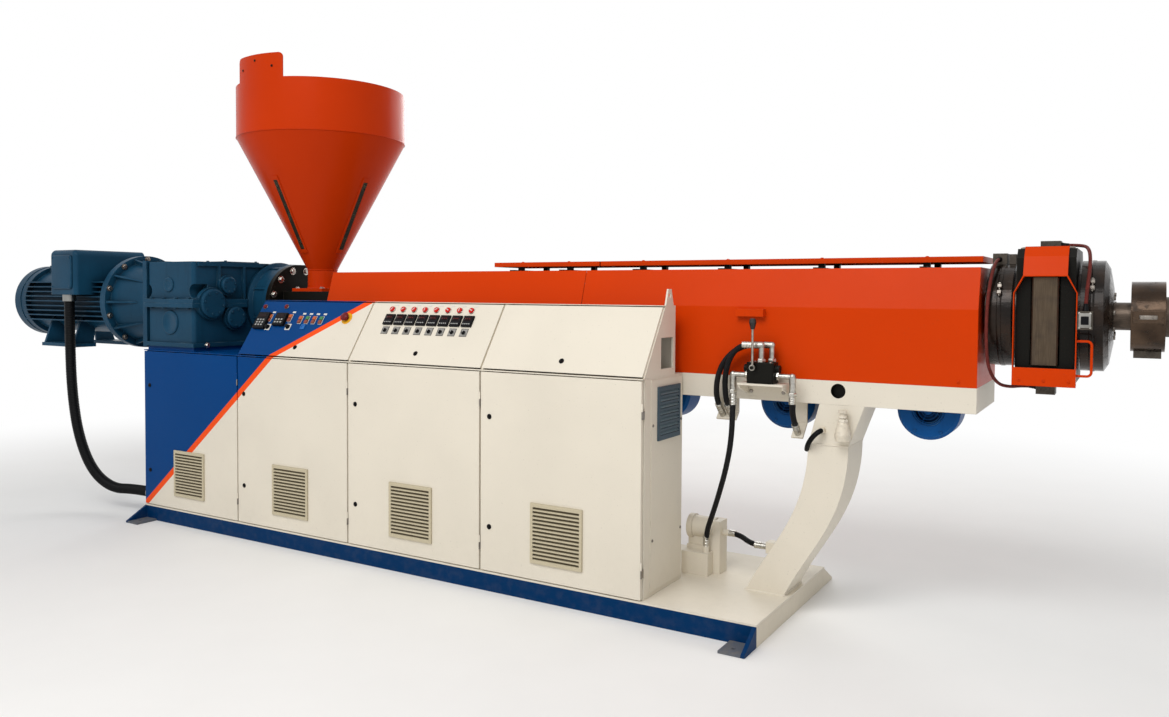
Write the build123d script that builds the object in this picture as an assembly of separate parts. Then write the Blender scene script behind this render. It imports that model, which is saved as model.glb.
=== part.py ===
from build123d import *
from math import cos, radians, sin, sqrt, tan
import os

# Driving sizes of the machine, in millimetres
BAY = 1000.0                # width of one cabinet bay
BAY_COUNT = 4
BASE_LENGTH = 4600.0
BASE_WIDTH = 1070.0
BASE_HEIGHT = 107.0         # floor to top of the deck plate
CABINET_DEPTH = 460.0
FACE_TOP = 1213.0           # top of the upright door face
CONSOLE_TOP = 1572.0
CONSOLE_RUN = 233.0         # how far the sloping panels lean back
CONSOLE_FLAT = 134.0        # flat top behind the slope
AXIS_Z = 1545.0             # height of the screw axis
BEAM_WIDTH = 600.0
BEAM_HEIGHT = 118.0
BEAM_REACH = 860.0          # beam beyond the right end of the base
GUARD_BEND = 1570.0
GUARD_TOP = 1764.0
HOPPER_R = 585.0
HOPPER_TOP = 3055.0
HOPPER_SHOULDER = 2708.0    # joint between drum and cone
MOTOR_R = 245.0
GEARBOX_LENGTH = 510.0
GEARBOX_HEIGHT = 595.0
BAND_R = 150.0              # outside of the barrel heaters
RING_R = 240.0              # outside of the flange heaters
BLOWER_COUNT = 6

# Sheet, plate and clearance sizes
SKIN = 3.0
PLATE = 6.0
HEAVY = 10.0
FIT = 0.3                   # between round faces of neighbours
RUN = 0.05                  # radial play of a pin
CLEAR = 5.0                 # free gap beside a moving piece
SEAM = 12.0                 # gap between two doors

# Places worked out from the sizes above
LEFT = -BASE_LENGTH / 2
RIGHT = BASE_LENGTH / 2
FRONT = -BASE_WIDTH / 2
BACK = BASE_WIDTH / 2
CAB_RIGHT = LEFT + BAY * BAY_COUNT
CAB_BACK = FRONT + CABINET_DEPTH
CAB_CEILING = FACE_TOP - PLATE
BEAM_FRONT = CAB_BACK + CLEAR
BEAM_BACK = BEAM_FRONT + BEAM_WIDTH
AXIS_Y = (BEAM_FRONT + BEAM_BACK) / 2
BEAM_LEFT = LEFT + BAY
BEAM_RIGHT = RIGHT + BEAM_REACH
BEAM_BOTTOM = FACE_TOP - BEAM_HEIGHT


def block(x0, x1, y0, y1, z0, z1):
    centre = Pos((x0 + x1) / 2, (y0 + y1) / 2, (z0 + z1) / 2)
    return centre * Box(x1 - x0, y1 - y0, z1 - z0)


def rod_x(x0, x1, y, z, r):
    return Pos((x0 + x1) / 2, y, z) * Rot(0, 90, 0) * Cylinder(r, x1 - x0)


def rod_y(x, y0, y1, z, r):
    return Pos(x, (y0 + y1) / 2, z) * Rot(90, 0, 0) * Cylinder(r, y1 - y0)


def rod_z(x, y, z0, z1, r):
    return Pos(x, y, (z0 + z1) / 2) * Cylinder(r, z1 - z0)


def plate_yz(points, x0, x1):
    face = make_face(Polyline(*[(x0, y, z) for y, z in points], close=True))
    return extrude(face, amount=x1 - x0, dir=(1, 0, 0))


def plate_xz(points, y0, y1):
    face = make_face(Polyline(*[(x, y0, z) for x, z in points], close=True))
    return extrude(face, amount=y1 - y0, dir=(0, 1, 0))


def plate_xy(points, z0, z1):
    face = make_face(Polyline(*[(x, y, z0) for x, y in points], close=True))
    return extrude(face, amount=z1 - z0, dir=(0, 0, 1))


def turned_x(points, y, z):
    face = make_face(Polyline(*[(x, y, z + r) for x, r in points], close=True))
    return revolve(face, axis=Axis((0, y, z), (1, 0, 0)))


def turned_y(points, x, z):
    face = make_face(Polyline(*[(x, y, z + r) for y, r in points], close=True))
    return revolve(face, axis=Axis((x, 0, z), (0, 1, 0)))


def turned_z(points, x, y):
    face = make_face(Polyline(*[(x + r, y, z) for r, z in points], close=True))
    return revolve(face, axis=Axis((x, y, 0), (0, 0, 1)))


def channel_x(x0, x1, y_web, inward, z0, z1, flange, t):
    """Rolled channel along X with its web at y_web and flanges turned inward."""
    tip = y_web + inward * flange
    inner = y_web + inward * t
    return plate_yz([(y_web, z0), (tip, z0), (tip, z0 + t), (inner, z0 + t),
                     (inner, z1 - t), (tip, z1 - t), (tip, z1), (y_web, z1)], x0, x1)


def mirror_y(y):
    """The same distance on the far side of the screw axis."""
    return 2 * AXIS_Y - y


def tube(points, diameter):
    """Round tube of straight runs joined by tangent bends."""
    corners = [Vector(*p) for p in points]
    radii = []
    for before, here, after in zip(corners, corners[1:], corners[2:]):
        first = here - before
        second = after - here
        half_turn = radians(first.get_angle(second)) / 2
        radii.append(0.45 * min(first.length, second.length) / tan(half_turn))
    path = FilletPolyline(*corners, radius=radii)
    section = Plane(origin=path @ 0, z_dir=path % 0) * Circle(diameter / 2)
    return sweep(section, path=path)


# Base frame
DECK_T = 10.0
SILL_FLANGE = 60.0
SILL_T = 8.0
END_T = 20.0
FOOT_REACH = 150.0
FOOT_WIDTH = 110.0
FOOT_T = 12.0
ANCHOR_R = 11.0
SILL_TOP = BASE_HEIGHT - DECK_T
ANCHOR_X = RIGHT - END_T - FOOT_WIDTH / 2
ANCHOR_Y = BACK + FOOT_REACH * 0.6


def base_end(x0, x1):
    """End plate that flares out to the feet at floor level."""
    return plate_yz([(FRONT - FOOT_REACH, 0), (BACK + FOOT_REACH, 0),
                     (BACK + FOOT_REACH, FOOT_T), (BACK, SILL_TOP),
                     (FRONT, SILL_TOP), (FRONT - FOOT_REACH, FOOT_T)], x0, x1)


def base_frame():
    """Front and rear sills welded between the two end plates."""
    x0, x1 = LEFT + END_T, RIGHT - END_T
    frame = base_end(LEFT, x0) + base_end(x1, RIGHT)
    frame += channel_x(x0, x1, FRONT, 1, 0, SILL_TOP, SILL_FLANGE, SILL_T)
    return frame + channel_x(x0, x1, BACK, -1, 0, SILL_TOP, SILL_FLANGE, SILL_T)


def foot_plates():
    feet = []
    for side in (-1, 1):
        inner = side * (RIGHT - END_T - FOOT_WIDTH)
        outer = side * (RIGHT - END_T)
        for end in (-1, 1):
            near = end * BACK
            far = end * (BACK + FOOT_REACH)
            pad = block(min(inner, outer), max(inner, outer), min(near, far), max(near, far), 0, FOOT_T)
            feet.append(pad - rod_z(side * ANCHOR_X, end * ANCHOR_Y, 0, FOOT_T, ANCHOR_R))
    return feet


def base_deck():
    return block(LEFT, RIGHT, FRONT, BACK, SILL_TOP, BASE_HEIGHT)


# Cabinet
DOOR_T = 20.0
POST_WIDTH = 50.0
POST_DEPTH = 20.0
FRAME_FRONT = FRONT + DOOR_T + CLEAR
BACK_T = 4.0
WALL_BACK = CAB_BACK - BACK_T
CONSOLE_FRONT = LEFT + BAY          # first bay has a flat top
CONSOLE_BACK = FRONT + CONSOLE_RUN + CONSOLE_FLAT


def cabinet_walls():
    """End walls and the three partitions behind the door seams."""
    walls = []
    for i in range(BAY_COUNT):
        x = LEFT + BAY * i
        if i == 0:
            outline = [(x, FRAME_FRONT), (x + POST_WIDTH, FRAME_FRONT),
                       (x + POST_WIDTH, FRAME_FRONT + POST_DEPTH), (x + PLATE, FRAME_FRONT + POST_DEPTH),
                       (x + PLATE, WALL_BACK), (x, WALL_BACK)]
        else:
            half, web = POST_WIDTH / 2, PLATE / 2
            step = FRAME_FRONT + POST_DEPTH
            outline = [(x - half, FRAME_FRONT), (x + half, FRAME_FRONT), (x + half, step), (x + web, step),
                       (x + web, WALL_BACK), (x - web, WALL_BACK), (x - web, step), (x - half, step)]
        walls.append(plate_xy(outline, BASE_HEIGHT, CAB_CEILING))
    return walls + [cabinet_end_wall()]


WINDOW_Y0, WINDOW_Y1 = FRONT + 174.0, FRONT + 393.0
WINDOW_Z0, WINDOW_Z1 = 905.0, 1143.0
WINDOW_RIM = 18.0


def cabinet_end_wall():
    x = CAB_RIGHT
    step = FRAME_FRONT + POST_DEPTH
    wall = plate_xy([(x, FRAME_FRONT), (x - POST_WIDTH, FRAME_FRONT), (x - POST_WIDTH, step),
                     (x - PLATE, step), (x - PLATE, WALL_BACK), (x, WALL_BACK)], BASE_HEIGHT, CAB_CEILING)
    return wall - block(x - PLATE, x, WINDOW_Y0, WINDOW_Y1, WINDOW_Z0, WINDOW_Z1)


def end_panel():
    """Screwed sheet on the right end with the opening for its louvre."""
    sheet = block(CAB_RIGHT, CAB_RIGHT + SKIN, FRONT + 91, CAB_BACK - PLATE,
                  BASE_HEIGHT + 20, CAB_CEILING - PLATE)
    return sheet - block(CAB_RIGHT, CAB_RIGHT + SKIN, WINDOW_Y0, WINDOW_Y1, WINDOW_Z0, WINDOW_Z1)


def end_louvre():
    """Framed louvre that plugs the opening in the end panel."""
    face = CAB_RIGHT + SKIN
    rim = block(face, face + HEAVY, WINDOW_Y0 - WINDOW_RIM, WINDOW_Y1 + WINDOW_RIM,
                WINDOW_Z0 - WINDOW_RIM, WINDOW_Z1 + WINDOW_RIM)
    slat_count = 7
    pitch = (WINDOW_Z1 - WINDOW_Z0) / slat_count
    for i in range(slat_count):
        z = WINDOW_Z0 + pitch * (i + 0.5)
        rim -= block(face, face + HEAVY, WINDOW_Y0, WINDOW_Y1, z - pitch * 0.28, z + pitch * 0.28)
    return rim


def cabinet_back_wall():
    return block(LEFT, CAB_RIGHT, WALL_BACK, CAB_BACK, BASE_HEIGHT, CAB_CEILING)


def cabinet_top():
    """Top plate, cut open under each sloping console bay."""
    plate = block(LEFT, CAB_RIGHT, FRONT, CAB_BACK, CAB_CEILING, FACE_TOP)
    for i in range(1, BAY_COUNT):
        x = LEFT + BAY * i
        plate -= block(x + POST_WIDTH, x + BAY - POST_WIDTH, FRAME_FRONT + POST_DEPTH + CLEAR,
                       CONSOLE_BACK - POST_WIDTH, CAB_CEILING, FACE_TOP)
    return plate


def gearbox_pedestal():
    """Welded stand behind the first bay, open underneath, and its bed plate."""
    x1 = LEFT + BAY
    shell = block(LEFT, x1, CAB_BACK, BACK, BASE_HEIGHT, FACE_TOP)
    shell -= block(LEFT + HEAVY, x1 - HEAVY, CAB_BACK + HEAVY, BACK - HEAVY, BASE_HEIGHT, FACE_TOP - HEAVY)
    return shell + block(LEFT, GEAR_RIGHT, GEAR_FRONT, GEAR_BACK, FACE_TOP, GEAR_BOTTOM)


# Doors, their grilles and hinges
DOOR_BOTTOM = BASE_HEIGHT + PLATE
DOOR_TOP = CAB_CEILING - CLEAR
HINGE_Y = FRONT - 3.0
KNUCKLE_R = 4.0
KNUCKLE_L = 40.0
PIN_R = 2.5
HINGE_HEIGHTS = (DOOR_BOTTOM + 150.0, DOOR_TOP - 150.0)
GRILLE = 320.0
GRILLE_Z = 363.0
GRILLE_T = 10.0
GRILLE_RIM = 16.0
SLOT_COUNT = 14


def door(i):
    x0 = LEFT + BAY * i + SEAM / 2
    x1 = LEFT + BAY * (i + 1) - SEAM / 2
    hinge_x = LEFT + BAY * (i + 1)
    back = FRONT + DOOR_T
    pan = block(x0, x1, FRONT, back, DOOR_BOTTOM, DOOR_TOP)
    pan -= block(x0 + SKIN, x1 - SKIN, FRONT + SKIN, back, DOOR_BOTTOM + SKIN, DOOR_TOP - SKIN)
    mid = (x0 + x1) / 2
    hole = GRILLE / 2 - GRILLE_RIM
    pan -= block(mid - hole, mid + hole, FRONT, back, GRILLE_Z - hole, GRILLE_Z + hole)
    for z in HINGE_HEIGHTS:
        low, high = z + RUN, z + KNUCKLE_L
        ear = block(x1 - KNUCKLE_R, hinge_x, FRONT - 2, FRONT + 1, low, high)
        knuckle = rod_z(hinge_x, HINGE_Y, low, high, KNUCKLE_R) + ear
        pan += knuckle - rod_z(hinge_x, HINGE_Y, low, high, PIN_R + RUN)
    return pan


def door_hinges():
    """Fixed half of each lift-off hinge: leaf, lower knuckle and pin."""
    halves = []
    for i in range(BAY_COUNT):
        x = LEFT + BAY * (i + 1)
        for z in HINGE_HEIGHTS:
            low = z - KNUCKLE_L
            leaf = block(x - SKIN, x, HINGE_Y, FRAME_FRONT, low, z)
            pin = rod_z(x, HINGE_Y, low, z + KNUCKLE_L, PIN_R)
            halves.append(leaf + rod_z(x, HINGE_Y, low, z, KNUCKLE_R) + pin)
    return halves


def vent_grille(i):
    mid = LEFT + BAY * (i + 0.5)
    half = GRILLE / 2
    frame = block(mid - half, mid + half, FRONT - GRILLE_T, FRONT, GRILLE_Z - half, GRILLE_Z + half)
    inner = half - GRILLE_RIM
    pitch = 2 * inner / SLOT_COUNT
    for k in range(SLOT_COUNT):
        z = GRILLE_Z - inner + pitch * (k + 0.5)
        frame -= block(mid - inner, mid + inner, FRONT - GRILLE_T, FRONT, z - pitch * 0.3, z + pitch * 0.3)
    return frame


# Sloping console
PANEL_T = 15.0
LEAN = CONSOLE_RUN / (CONSOLE_TOP - FACE_TOP)
SLOPE_LENGTH = sqrt(CONSOLE_RUN ** 2 + (CONSOLE_TOP - FACE_TOP) ** 2)
ALONG = ((CONSOLE_RUN / SLOPE_LENGTH), (CONSOLE_TOP - FACE_TOP) / SLOPE_LENGTH)
PANEL_RUN = PANEL_T / ALONG[1]      # panel thickness measured level
PANEL_EDGE = 8.0
LUG_WIDTH = 90.0
LUG_RISE = 86.0


def slope_y(z):
    return FRONT + (z - FACE_TOP) * LEAN


def console_shell():
    back, crest = CONSOLE_BACK, FRONT + CONSOLE_RUN
    under = CONSOLE_TOP - SKIN
    shell = plate_yz([(back, FACE_TOP), (back, CONSOLE_TOP), (crest, CONSOLE_TOP), (crest, under),
                      (back - SKIN, under), (back - SKIN, FACE_TOP)], CONSOLE_FRONT, CAB_RIGHT)
    cheek = [(FRONT + PANEL_RUN, FACE_TOP), (slope_y(under) + PANEL_RUN, under),
             (back - SKIN, under), (back - SKIN, FACE_TOP)]
    for i in range(1, BAY_COUNT + 1):
        x = LEFT + BAY * i
        low = x if i == 1 else x - 2 * PLATE
        high = x if i == BAY_COUNT else x + 2 * PLATE
        rib = plate_yz(cheek, low, high)
        if i == BAY_COUNT:
            rib -= block(low, high, back - 166, back - 25, FACE_TOP + 36, FACE_TOP + 195)
        shell += rib
    middle = (crest + back) / 2
    lug = plate_yz([(middle - LUG_WIDTH / 2, CONSOLE_TOP), (middle + LUG_WIDTH / 2, CONSOLE_TOP),
                    (middle + LUG_WIDTH / 5, CONSOLE_TOP + LUG_RISE),
                    (middle - LUG_WIDTH / 5, CONSOLE_TOP + LUG_RISE)], CAB_RIGHT - HEAVY, CAB_RIGHT)
    lug -= rod_x(CAB_RIGHT - HEAVY, CAB_RIGHT, middle, CONSOLE_TOP + LUG_RISE * 0.62, LUG_RISE / 6)
    return shell + lug


def console_panels():
    low, high = FACE_TOP + PANEL_EDGE, CONSOLE_TOP - PANEL_EDGE
    outline = [(slope_y(low), low), (slope_y(high), high),
               (slope_y(high) + PANEL_RUN, high), (slope_y(low) + PANEL_RUN, low)]
    panels = []
    for i in range(1, BAY_COUNT):
        x = LEFT + BAY * i
        panels.append(plate_yz(outline, x + SEAM / 2, x + BAY - SEAM / 2))
    return panels


def on_slope(x, s, width, height, rise):
    """Flat-backed instrument case on the sloping face, s measured up the slope."""
    spot = Vector(x, FRONT + s * ALONG[0], FACE_TOP + s * ALONG[1])
    face = Plane(origin=spot, x_dir=(1, 0, 0), z_dir=(0, -ALONG[1], ALONG[0]))
    return face * Pos(0, 0, rise / 2) * Box(width, height, rise)


CONTROLLER = 72.0
CONTROLLER_PITCH = 85.7
CONTROLLER_COUNT = 8


def panel_instruments():
    middle_bay = LEFT + BAY * 2
    first_bay = LEFT + BAY
    row_start = middle_bay + BAY * 0.19
    cases = []
    for k in range(CONTROLLER_COUNT):
        x = row_start + CONTROLLER_PITCH * k
        cases.append(on_slope(x, SLOPE_LENGTH * 0.70, CONTROLLER, CONTROLLER, HEAVY))
        cases.append(on_slope(x, SLOPE_LENGTH * 0.53, CONTROLLER * 0.7, CONTROLLER * 0.7, SKIN))
    thick = 2 * HEAVY
    wide_x, narrow_x = first_bay + BAY * 0.085, first_bay + BAY * 0.255
    cases.append(on_slope(wide_x, SLOPE_LENGTH * 0.61, CONTROLLER * 1.5, CONTROLLER * 1.7, thick))
    cases.append(on_slope(narrow_x, SLOPE_LENGTH * 0.64, CONTROLLER * 1.4, CONTROLLER * 1.3, thick))
    return cases


# Gearbox
SUBBASE_T = 27.0
GEAR_FRONT = FRONT + 35.0
GEAR_BACK = AXIS_Y + 290.0
GEAR_BOTTOM = FACE_TOP + SUBBASE_T
GEAR_TOP = GEAR_BOTTOM + GEARBOX_HEIGHT
GEAR_RIGHT = LEFT + GEARBOX_LENGTH
GEAR_RIM = 32.0
SPLIT_T = 30.0
ADAPTER_T = 45.0
MOTOR_Y = FRONT + 350.0
THRUST_R = 282.0
THRUST_RIGHT = GEAR_RIGHT + 190.0
INPUT_CAP_R = 100.0
CAP_T = 45.0


def bearing_spots():
    """Centre and radius of each shaft cap on the output side."""
    return [(GEAR_FRONT + 125.0, AXIS_Z, INPUT_CAP_R),
            (GEAR_FRONT + 255.0, AXIS_Z + 127.0, INPUT_CAP_R * 0.6),
            (GEAR_FRONT + 315.0, AXIS_Z - 101.0, INPUT_CAP_R * 0.76)]


def gearbox_whole():
    """Two-part housing before it is parted along the shaft plane."""
    body = block(LEFT, GEAR_RIGHT, GEAR_FRONT, GEAR_BACK, GEAR_BOTTOM, GEAR_TOP)
    body = fillet(body.edges().filter_by(Axis.Z), radius=25.0)
    pocket_z = AXIS_Z + SPLIT_T + 55.0
    for x in (LEFT, GEAR_RIGHT):
        for y0, y1 in ((GEAR_FRONT, GEAR_FRONT + 110.0), (GEAR_BACK - 110.0, GEAR_BACK)):
            body -= rod_y(x, y0, y1, pocket_z, 48.0)
    body += block(LEFT, GEAR_RIGHT + GEAR_RIM, GEAR_FRONT - GEAR_RIM, GEAR_BACK + GEAR_RIM,
                  AXIS_Z - SPLIT_T, AXIS_Z + SPLIT_T)
    body += block(LEFT, GEAR_RIGHT + GEAR_RIM / 2, GEAR_FRONT - GEAR_RIM / 2, GEAR_BACK + GEAR_RIM / 2,
                  GEAR_BOTTOM, GEAR_BOTTOM + SPLIT_T)
    body += block(GEAR_RIGHT - SPLIT_T, GEAR_RIGHT + GEAR_RIM / 2, GEAR_FRONT + SPLIT_T, GEAR_BACK - SPLIT_T,
                  GEAR_TOP - SPLIT_T, GEAR_TOP)
    for y, z, r in bearing_spots():
        body += rod_x(GEAR_RIGHT, GEAR_RIGHT + GEAR_RIM, y, z, r + 12.0)
    for y in (GEAR_FRONT + 190.0, GEAR_FRONT + 400.0):
        body += block(GEAR_RIGHT, GEAR_RIGHT + GEAR_RIM * 0.6, y, y + 18.0,
                      AXIS_Z + SPLIT_T, GEAR_TOP - SPLIT_T)
    return body - rod_x(GEAR_RIGHT, GEAR_RIGHT + GEAR_RIM, AXIS_Y, AXIS_Z, THRUST_R + 25.0)


def gearbox_half(whole, z0, z1):
    """Part of the housing between two heights."""
    reach = GEAR_RIM * 4
    return whole & block(LEFT - reach, GEAR_RIGHT + reach, GEAR_FRONT - reach, GEAR_BACK + reach, z0, z1)


def bearing_caps():
    face = GEAR_RIGHT + GEAR_RIM
    caps = []
    for y, z, r in bearing_spots():
        caps.append(turned_x([(face, 0), (face, r), (face + CAP_T * 0.4, r), (face + CAP_T * 0.55, r * 0.88),
                              (face + CAP_T * 0.55, 0)], y, z))
    return caps


def thrust_housing():
    left, right = GEAR_RIGHT, THRUST_RIGHT
    inner = THRUST_R * 0.45
    body = turned_x([(left, inner), (left, THRUST_R + 18), (left + 25, THRUST_R + 18),
                     (left + 40, THRUST_R - 12), (right - 30, THRUST_R - 12), (right - 30, THRUST_R),
                     (right, THRUST_R), (right, inner)],
                    AXIS_Y, AXIS_Z)
    for k in range(8):
        web = block(left + 20, right - 20, AXIS_Y - 8, AXIS_Y + 8,
                    AXIS_Z + THRUST_R - 20, AXIS_Z + THRUST_R - 2)
        body += web.rotate(Axis((0, AXIS_Y, AXIS_Z), (1, 0, 0)), 22.5 + 45 * k)
    return body


# Motor and its lantern
LANTERN_LENGTH = 455.0
FLANGE_R = 350.0
FLANGE_T = 30.0
LANTERN_RIGHT = LEFT - ADAPTER_T
LANTERN_LEFT = LANTERN_RIGHT - LANTERN_LENGTH
LANTERN_RIBS = 10
MOTOR_RIGHT = LANTERN_LEFT
MOTOR_LENGTH = 1240.0
MOTOR_LEFT = MOTOR_RIGHT - MOTOR_LENGTH
COWL_LENGTH = 142.0
FIN_TIP = MOTOR_R + 42.0
FIN_T = 9.0
FIN_PITCH = 37.0
BOX_X1 = MOTOR_RIGHT - 231.0
BOX_WIDTH = 340.0
BOX_X0 = BOX_X1 - BOX_WIDTH
BOX_FRONT = MOTOR_Y - 415.0
BOX_BACK = MOTOR_Y + 148.0
BOX_BOTTOM = AXIS_Z + 52.0
BOX_TOP = AXIS_Z + 390.0


def motor_lantern():
    """Conical ribbed bell on the square plate that closes the gearbox."""
    x0, x1 = LANTERN_LEFT, LANTERN_RIGHT
    wide, narrow = FLANGE_R * 0.86, FLANGE_R * 0.66
    bell = turned_x([(x0, wide - 40), (x0, FLANGE_R), (x0 + FLANGE_T, FLANGE_R), (x0 + FLANGE_T, wide),
                     (x1 - FLANGE_T, narrow), (x1 - FLANGE_T, narrow + 45), (x1, narrow + 45),
                     (x1, narrow - 40)], MOTOR_Y, AXIS_Z)
    web = [(x0 + FLANGE_T, AXIS_Z + wide - 20), (x0 + FLANGE_T, AXIS_Z + FLANGE_R - 12),
           (x0 + LANTERN_LENGTH * 0.62, AXIS_Z + narrow + 30), (x0 + LANTERN_LENGTH * 0.62, AXIS_Z + narrow)]
    rib = plate_xz(web, MOTOR_Y - 7, MOTOR_Y + 7)
    for k in range(LANTERN_RIBS):
        bell += rib.rotate(Axis((0, MOTOR_Y, AXIS_Z), (1, 0, 0)), 360 / LANTERN_RIBS * (k + 0.5))
    plate = block(x1, LEFT, GEAR_FRONT - HEAVY, GEAR_BACK, GEAR_BOTTOM - HEAVY, GEAR_TOP + HEAVY)
    return bell + (plate - rod_x(x1, LEFT, MOTOR_Y, AXIS_Z, narrow - 40))


def motor_frame():
    """Finned round frame with end shields, mounting flange and cast feet."""
    x0, x1 = MOTOR_LEFT, MOTOR_RIGHT
    shield = 70.0
    body = rod_x(x0, x1, MOTOR_Y, AXIS_Z, MOTOR_R)
    fins = int(MOTOR_R * 0.75 / FIN_PITCH)
    for k in range(-fins, fins + 1):
        offset = k * FIN_PITCH
        root = sqrt(MOTOR_R ** 2 - offset ** 2) - HEAVY
        for side in (-1, 1):
            y = sorted((MOTOR_Y + side * root, MOTOR_Y + side * FIN_TIP))
            body += block(x0 + shield, x1 - shield, *y,
                          AXIS_Z + offset - FIN_T / 2, AXIS_Z + offset + FIN_T / 2)
    for k in range(-2, 3):
        offset = k * FIN_PITCH
        body += block(x0 + shield, x1 - shield, MOTOR_Y + offset - FIN_T / 2, MOTOR_Y + offset + FIN_T / 2,
                      AXIS_Z, AXIS_Z + FIN_TIP)
    for a, b in ((x0, x0 + shield), (x1 - shield, x1)):
        body += rod_x(a, b, MOTOR_Y, AXIS_Z, FIN_TIP - 8)
    body += rod_x(x1 - FLANGE_T, x1, MOTOR_Y, AXIS_Z, FLANGE_R)
    foot_x0 = x1 - MOTOR_LENGTH * 0.74
    foot_x1 = x1 - MOTOR_LENGTH * 0.36
    sole = AXIS_Z - 355.0
    for side in (-1, 1):
        y = sorted((MOTOR_Y + side * 130.0, MOTOR_Y + side * 290.0))
        body += block(foot_x0, foot_x1, *y, sole, sole + 26)
        for x in (foot_x0 + 30, foot_x1 - 50):
            body += plate_yz([(MOTOR_Y + side * 290, sole + 26), (MOTOR_Y + side * 130, sole + 26),
                              (MOTOR_Y + side * 110, AXIS_Z - 150), (MOTOR_Y + side * 215, AXIS_Z - 110)],
                             x, x + 20)
    return body - block(BOX_X0, BOX_X1, BOX_FRONT, BOX_BACK, BOX_BOTTOM, BOX_TOP) \
        + (rod_x(BOX_X0, BOX_X1, MOTOR_Y, AXIS_Z, MOTOR_R))


def motor_fan_cowl():
    x0, x1 = MOTOR_LEFT - COWL_LENGTH, MOTOR_LEFT
    r = FIN_TIP - 4
    return turned_x([(x1, r - SKIN), (x1, r), (x0 + 60, r), (x0 + 14, r * 0.86), (x0, r * 0.66), (x0, 0),
                     (x0 + SKIN, 0), (x0 + SKIN, r * 0.65), (x0 + 16, r * 0.85), (x0 + 61, r - SKIN)],
                    MOTOR_Y, AXIS_Z)


def motor_terminal_box():
    """Rounded cast box saddled on the motor frame."""
    body = block(BOX_X0, BOX_X1, BOX_FRONT, BOX_BACK, BOX_BOTTOM, BOX_TOP)
    body = fillet(body.edges().filter_by(Axis.Y).group_by(Axis.Z)[-1], radius=45.0)
    body = fillet(body.edges().filter_by(Axis.Z).group_by(Axis.Y)[0], radius=30.0)
    return body - rod_x(BOX_X0, BOX_X1, MOTOR_Y, AXIS_Z, MOTOR_R + FIT)


# Conduit and its two glands
CONDUIT_D = 74.0
GLAND_R = 46.0
GLAND_L = 50.0
CONDUIT_X = BOX_X0 + BOX_WIDTH * 0.53
CONDUIT_Y = BOX_FRONT + 46.0
ENTRY_Y = FRONT + 78.0
ENTRY_Z = BASE_HEIGHT + 62.0


def conduit_glands():
    upper = rod_z(CONDUIT_X, CONDUIT_Y, BOX_BOTTOM - GLAND_L, BOX_BOTTOM, GLAND_R)
    lower = rod_x(LEFT - GLAND_L, LEFT, ENTRY_Y, ENTRY_Z, GLAND_R)
    return [upper, lower]


def blend(start, end, parts):
    """Points between two ends, each part giving the share along X, Y and Z."""
    return [tuple(s + (e - s) * f for s, e, f in zip(start, end, part)) for part in parts]


def conduit_points():
    """Hangs from the terminal box, sweeps near the floor, enters the left wall."""
    start = (CONDUIT_X, CONDUIT_Y, BOX_BOTTOM - GLAND_L)
    end = (LEFT - GLAND_L, ENTRY_Y, ENTRY_Z)
    bends = [(0, 0, 0.22), (0.02, 0.02, 0.50), (0.10, 0.08, 0.74), (0.27, 0.26, 0.925), (0.51, 0.60, 1.01),
             (0.76, 1, 1)]
    return [start, *blend(start, end, bends), end]


# Feed section and hopper
FEED_RIGHT = LEFT + 1210.0
FEED_HALF = 150.0
FEED_TOP = AXIS_Z + 87.0
FEED_FLANGE_T = 38.0
HOPPER_X = LEFT + 980.0
NECK_R = 104.0
NECK_TOP = 1787.0
FLANGE_PLATE_T = 23.0
FLANGE_PLATE = 300.0
SHELL_T = 4.0
NECK_BOTTOM = FEED_TOP + FLANGE_PLATE_T
SIGHT_WIDTH = 62.0
SIGHT_T = 7.0


def feed_section():
    """Black throat casting bolted to the thrust housing, on its own stand."""
    x0 = THRUST_RIGHT
    low = AXIS_Z - FEED_HALF
    body = rod_x(x0, x0 + FEED_FLANGE_T, AXIS_Y, AXIS_Z, THRUST_R)
    body += block(x0 + FEED_FLANGE_T, FEED_RIGHT, AXIS_Y - FEED_HALF, AXIS_Y + FEED_HALF, low, FEED_TOP)
    stand_x = HOPPER_X - FLANGE_PLATE / 2
    body += block(stand_x, LEFT + BAY - HEAVY, AXIS_Y - FEED_HALF / 2, AXIS_Y + FEED_HALF / 2, FACE_TOP, low)
    body -= rod_x(x0, FEED_RIGHT, AXIS_Y, AXIS_Z, BAND_R * 0.4)
    return body - rod_z(HOPPER_X, AXIS_Y, AXIS_Z, FEED_TOP, NECK_R - SHELL_T)


TAB_RISE = 160.0
TAB_ARC = 43.0              # degrees of the drum that the tab spans


def hopper_drum():
    """Sheet drum with a curved tab that rises from its front edge."""
    inner, crest = HOPPER_R - SHELL_T, HOPPER_TOP + TAB_RISE
    wall = turned_z([(inner, HOPPER_SHOULDER), (HOPPER_R, HOPPER_SHOULDER), (HOPPER_R, crest),
                     (inner, crest)], HOPPER_X, AXIS_Y)
    reach = HOPPER_R + HEAVY
    half = HOPPER_R * sin(radians(TAB_ARC / 2))
    tab = block(HOPPER_X - half, HOPPER_X + half, AXIS_Y - reach, AXIS_Y, HOPPER_TOP, crest)
    tab = fillet(tab.edges().filter_by(Axis.Y).group_by(Axis.Z)[-1], radius=TAB_RISE / 5)
    above = block(HOPPER_X - reach, HOPPER_X + reach, AXIS_Y - reach, AXIS_Y + reach, HOPPER_TOP, crest)
    return wall - (above - tab)


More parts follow.
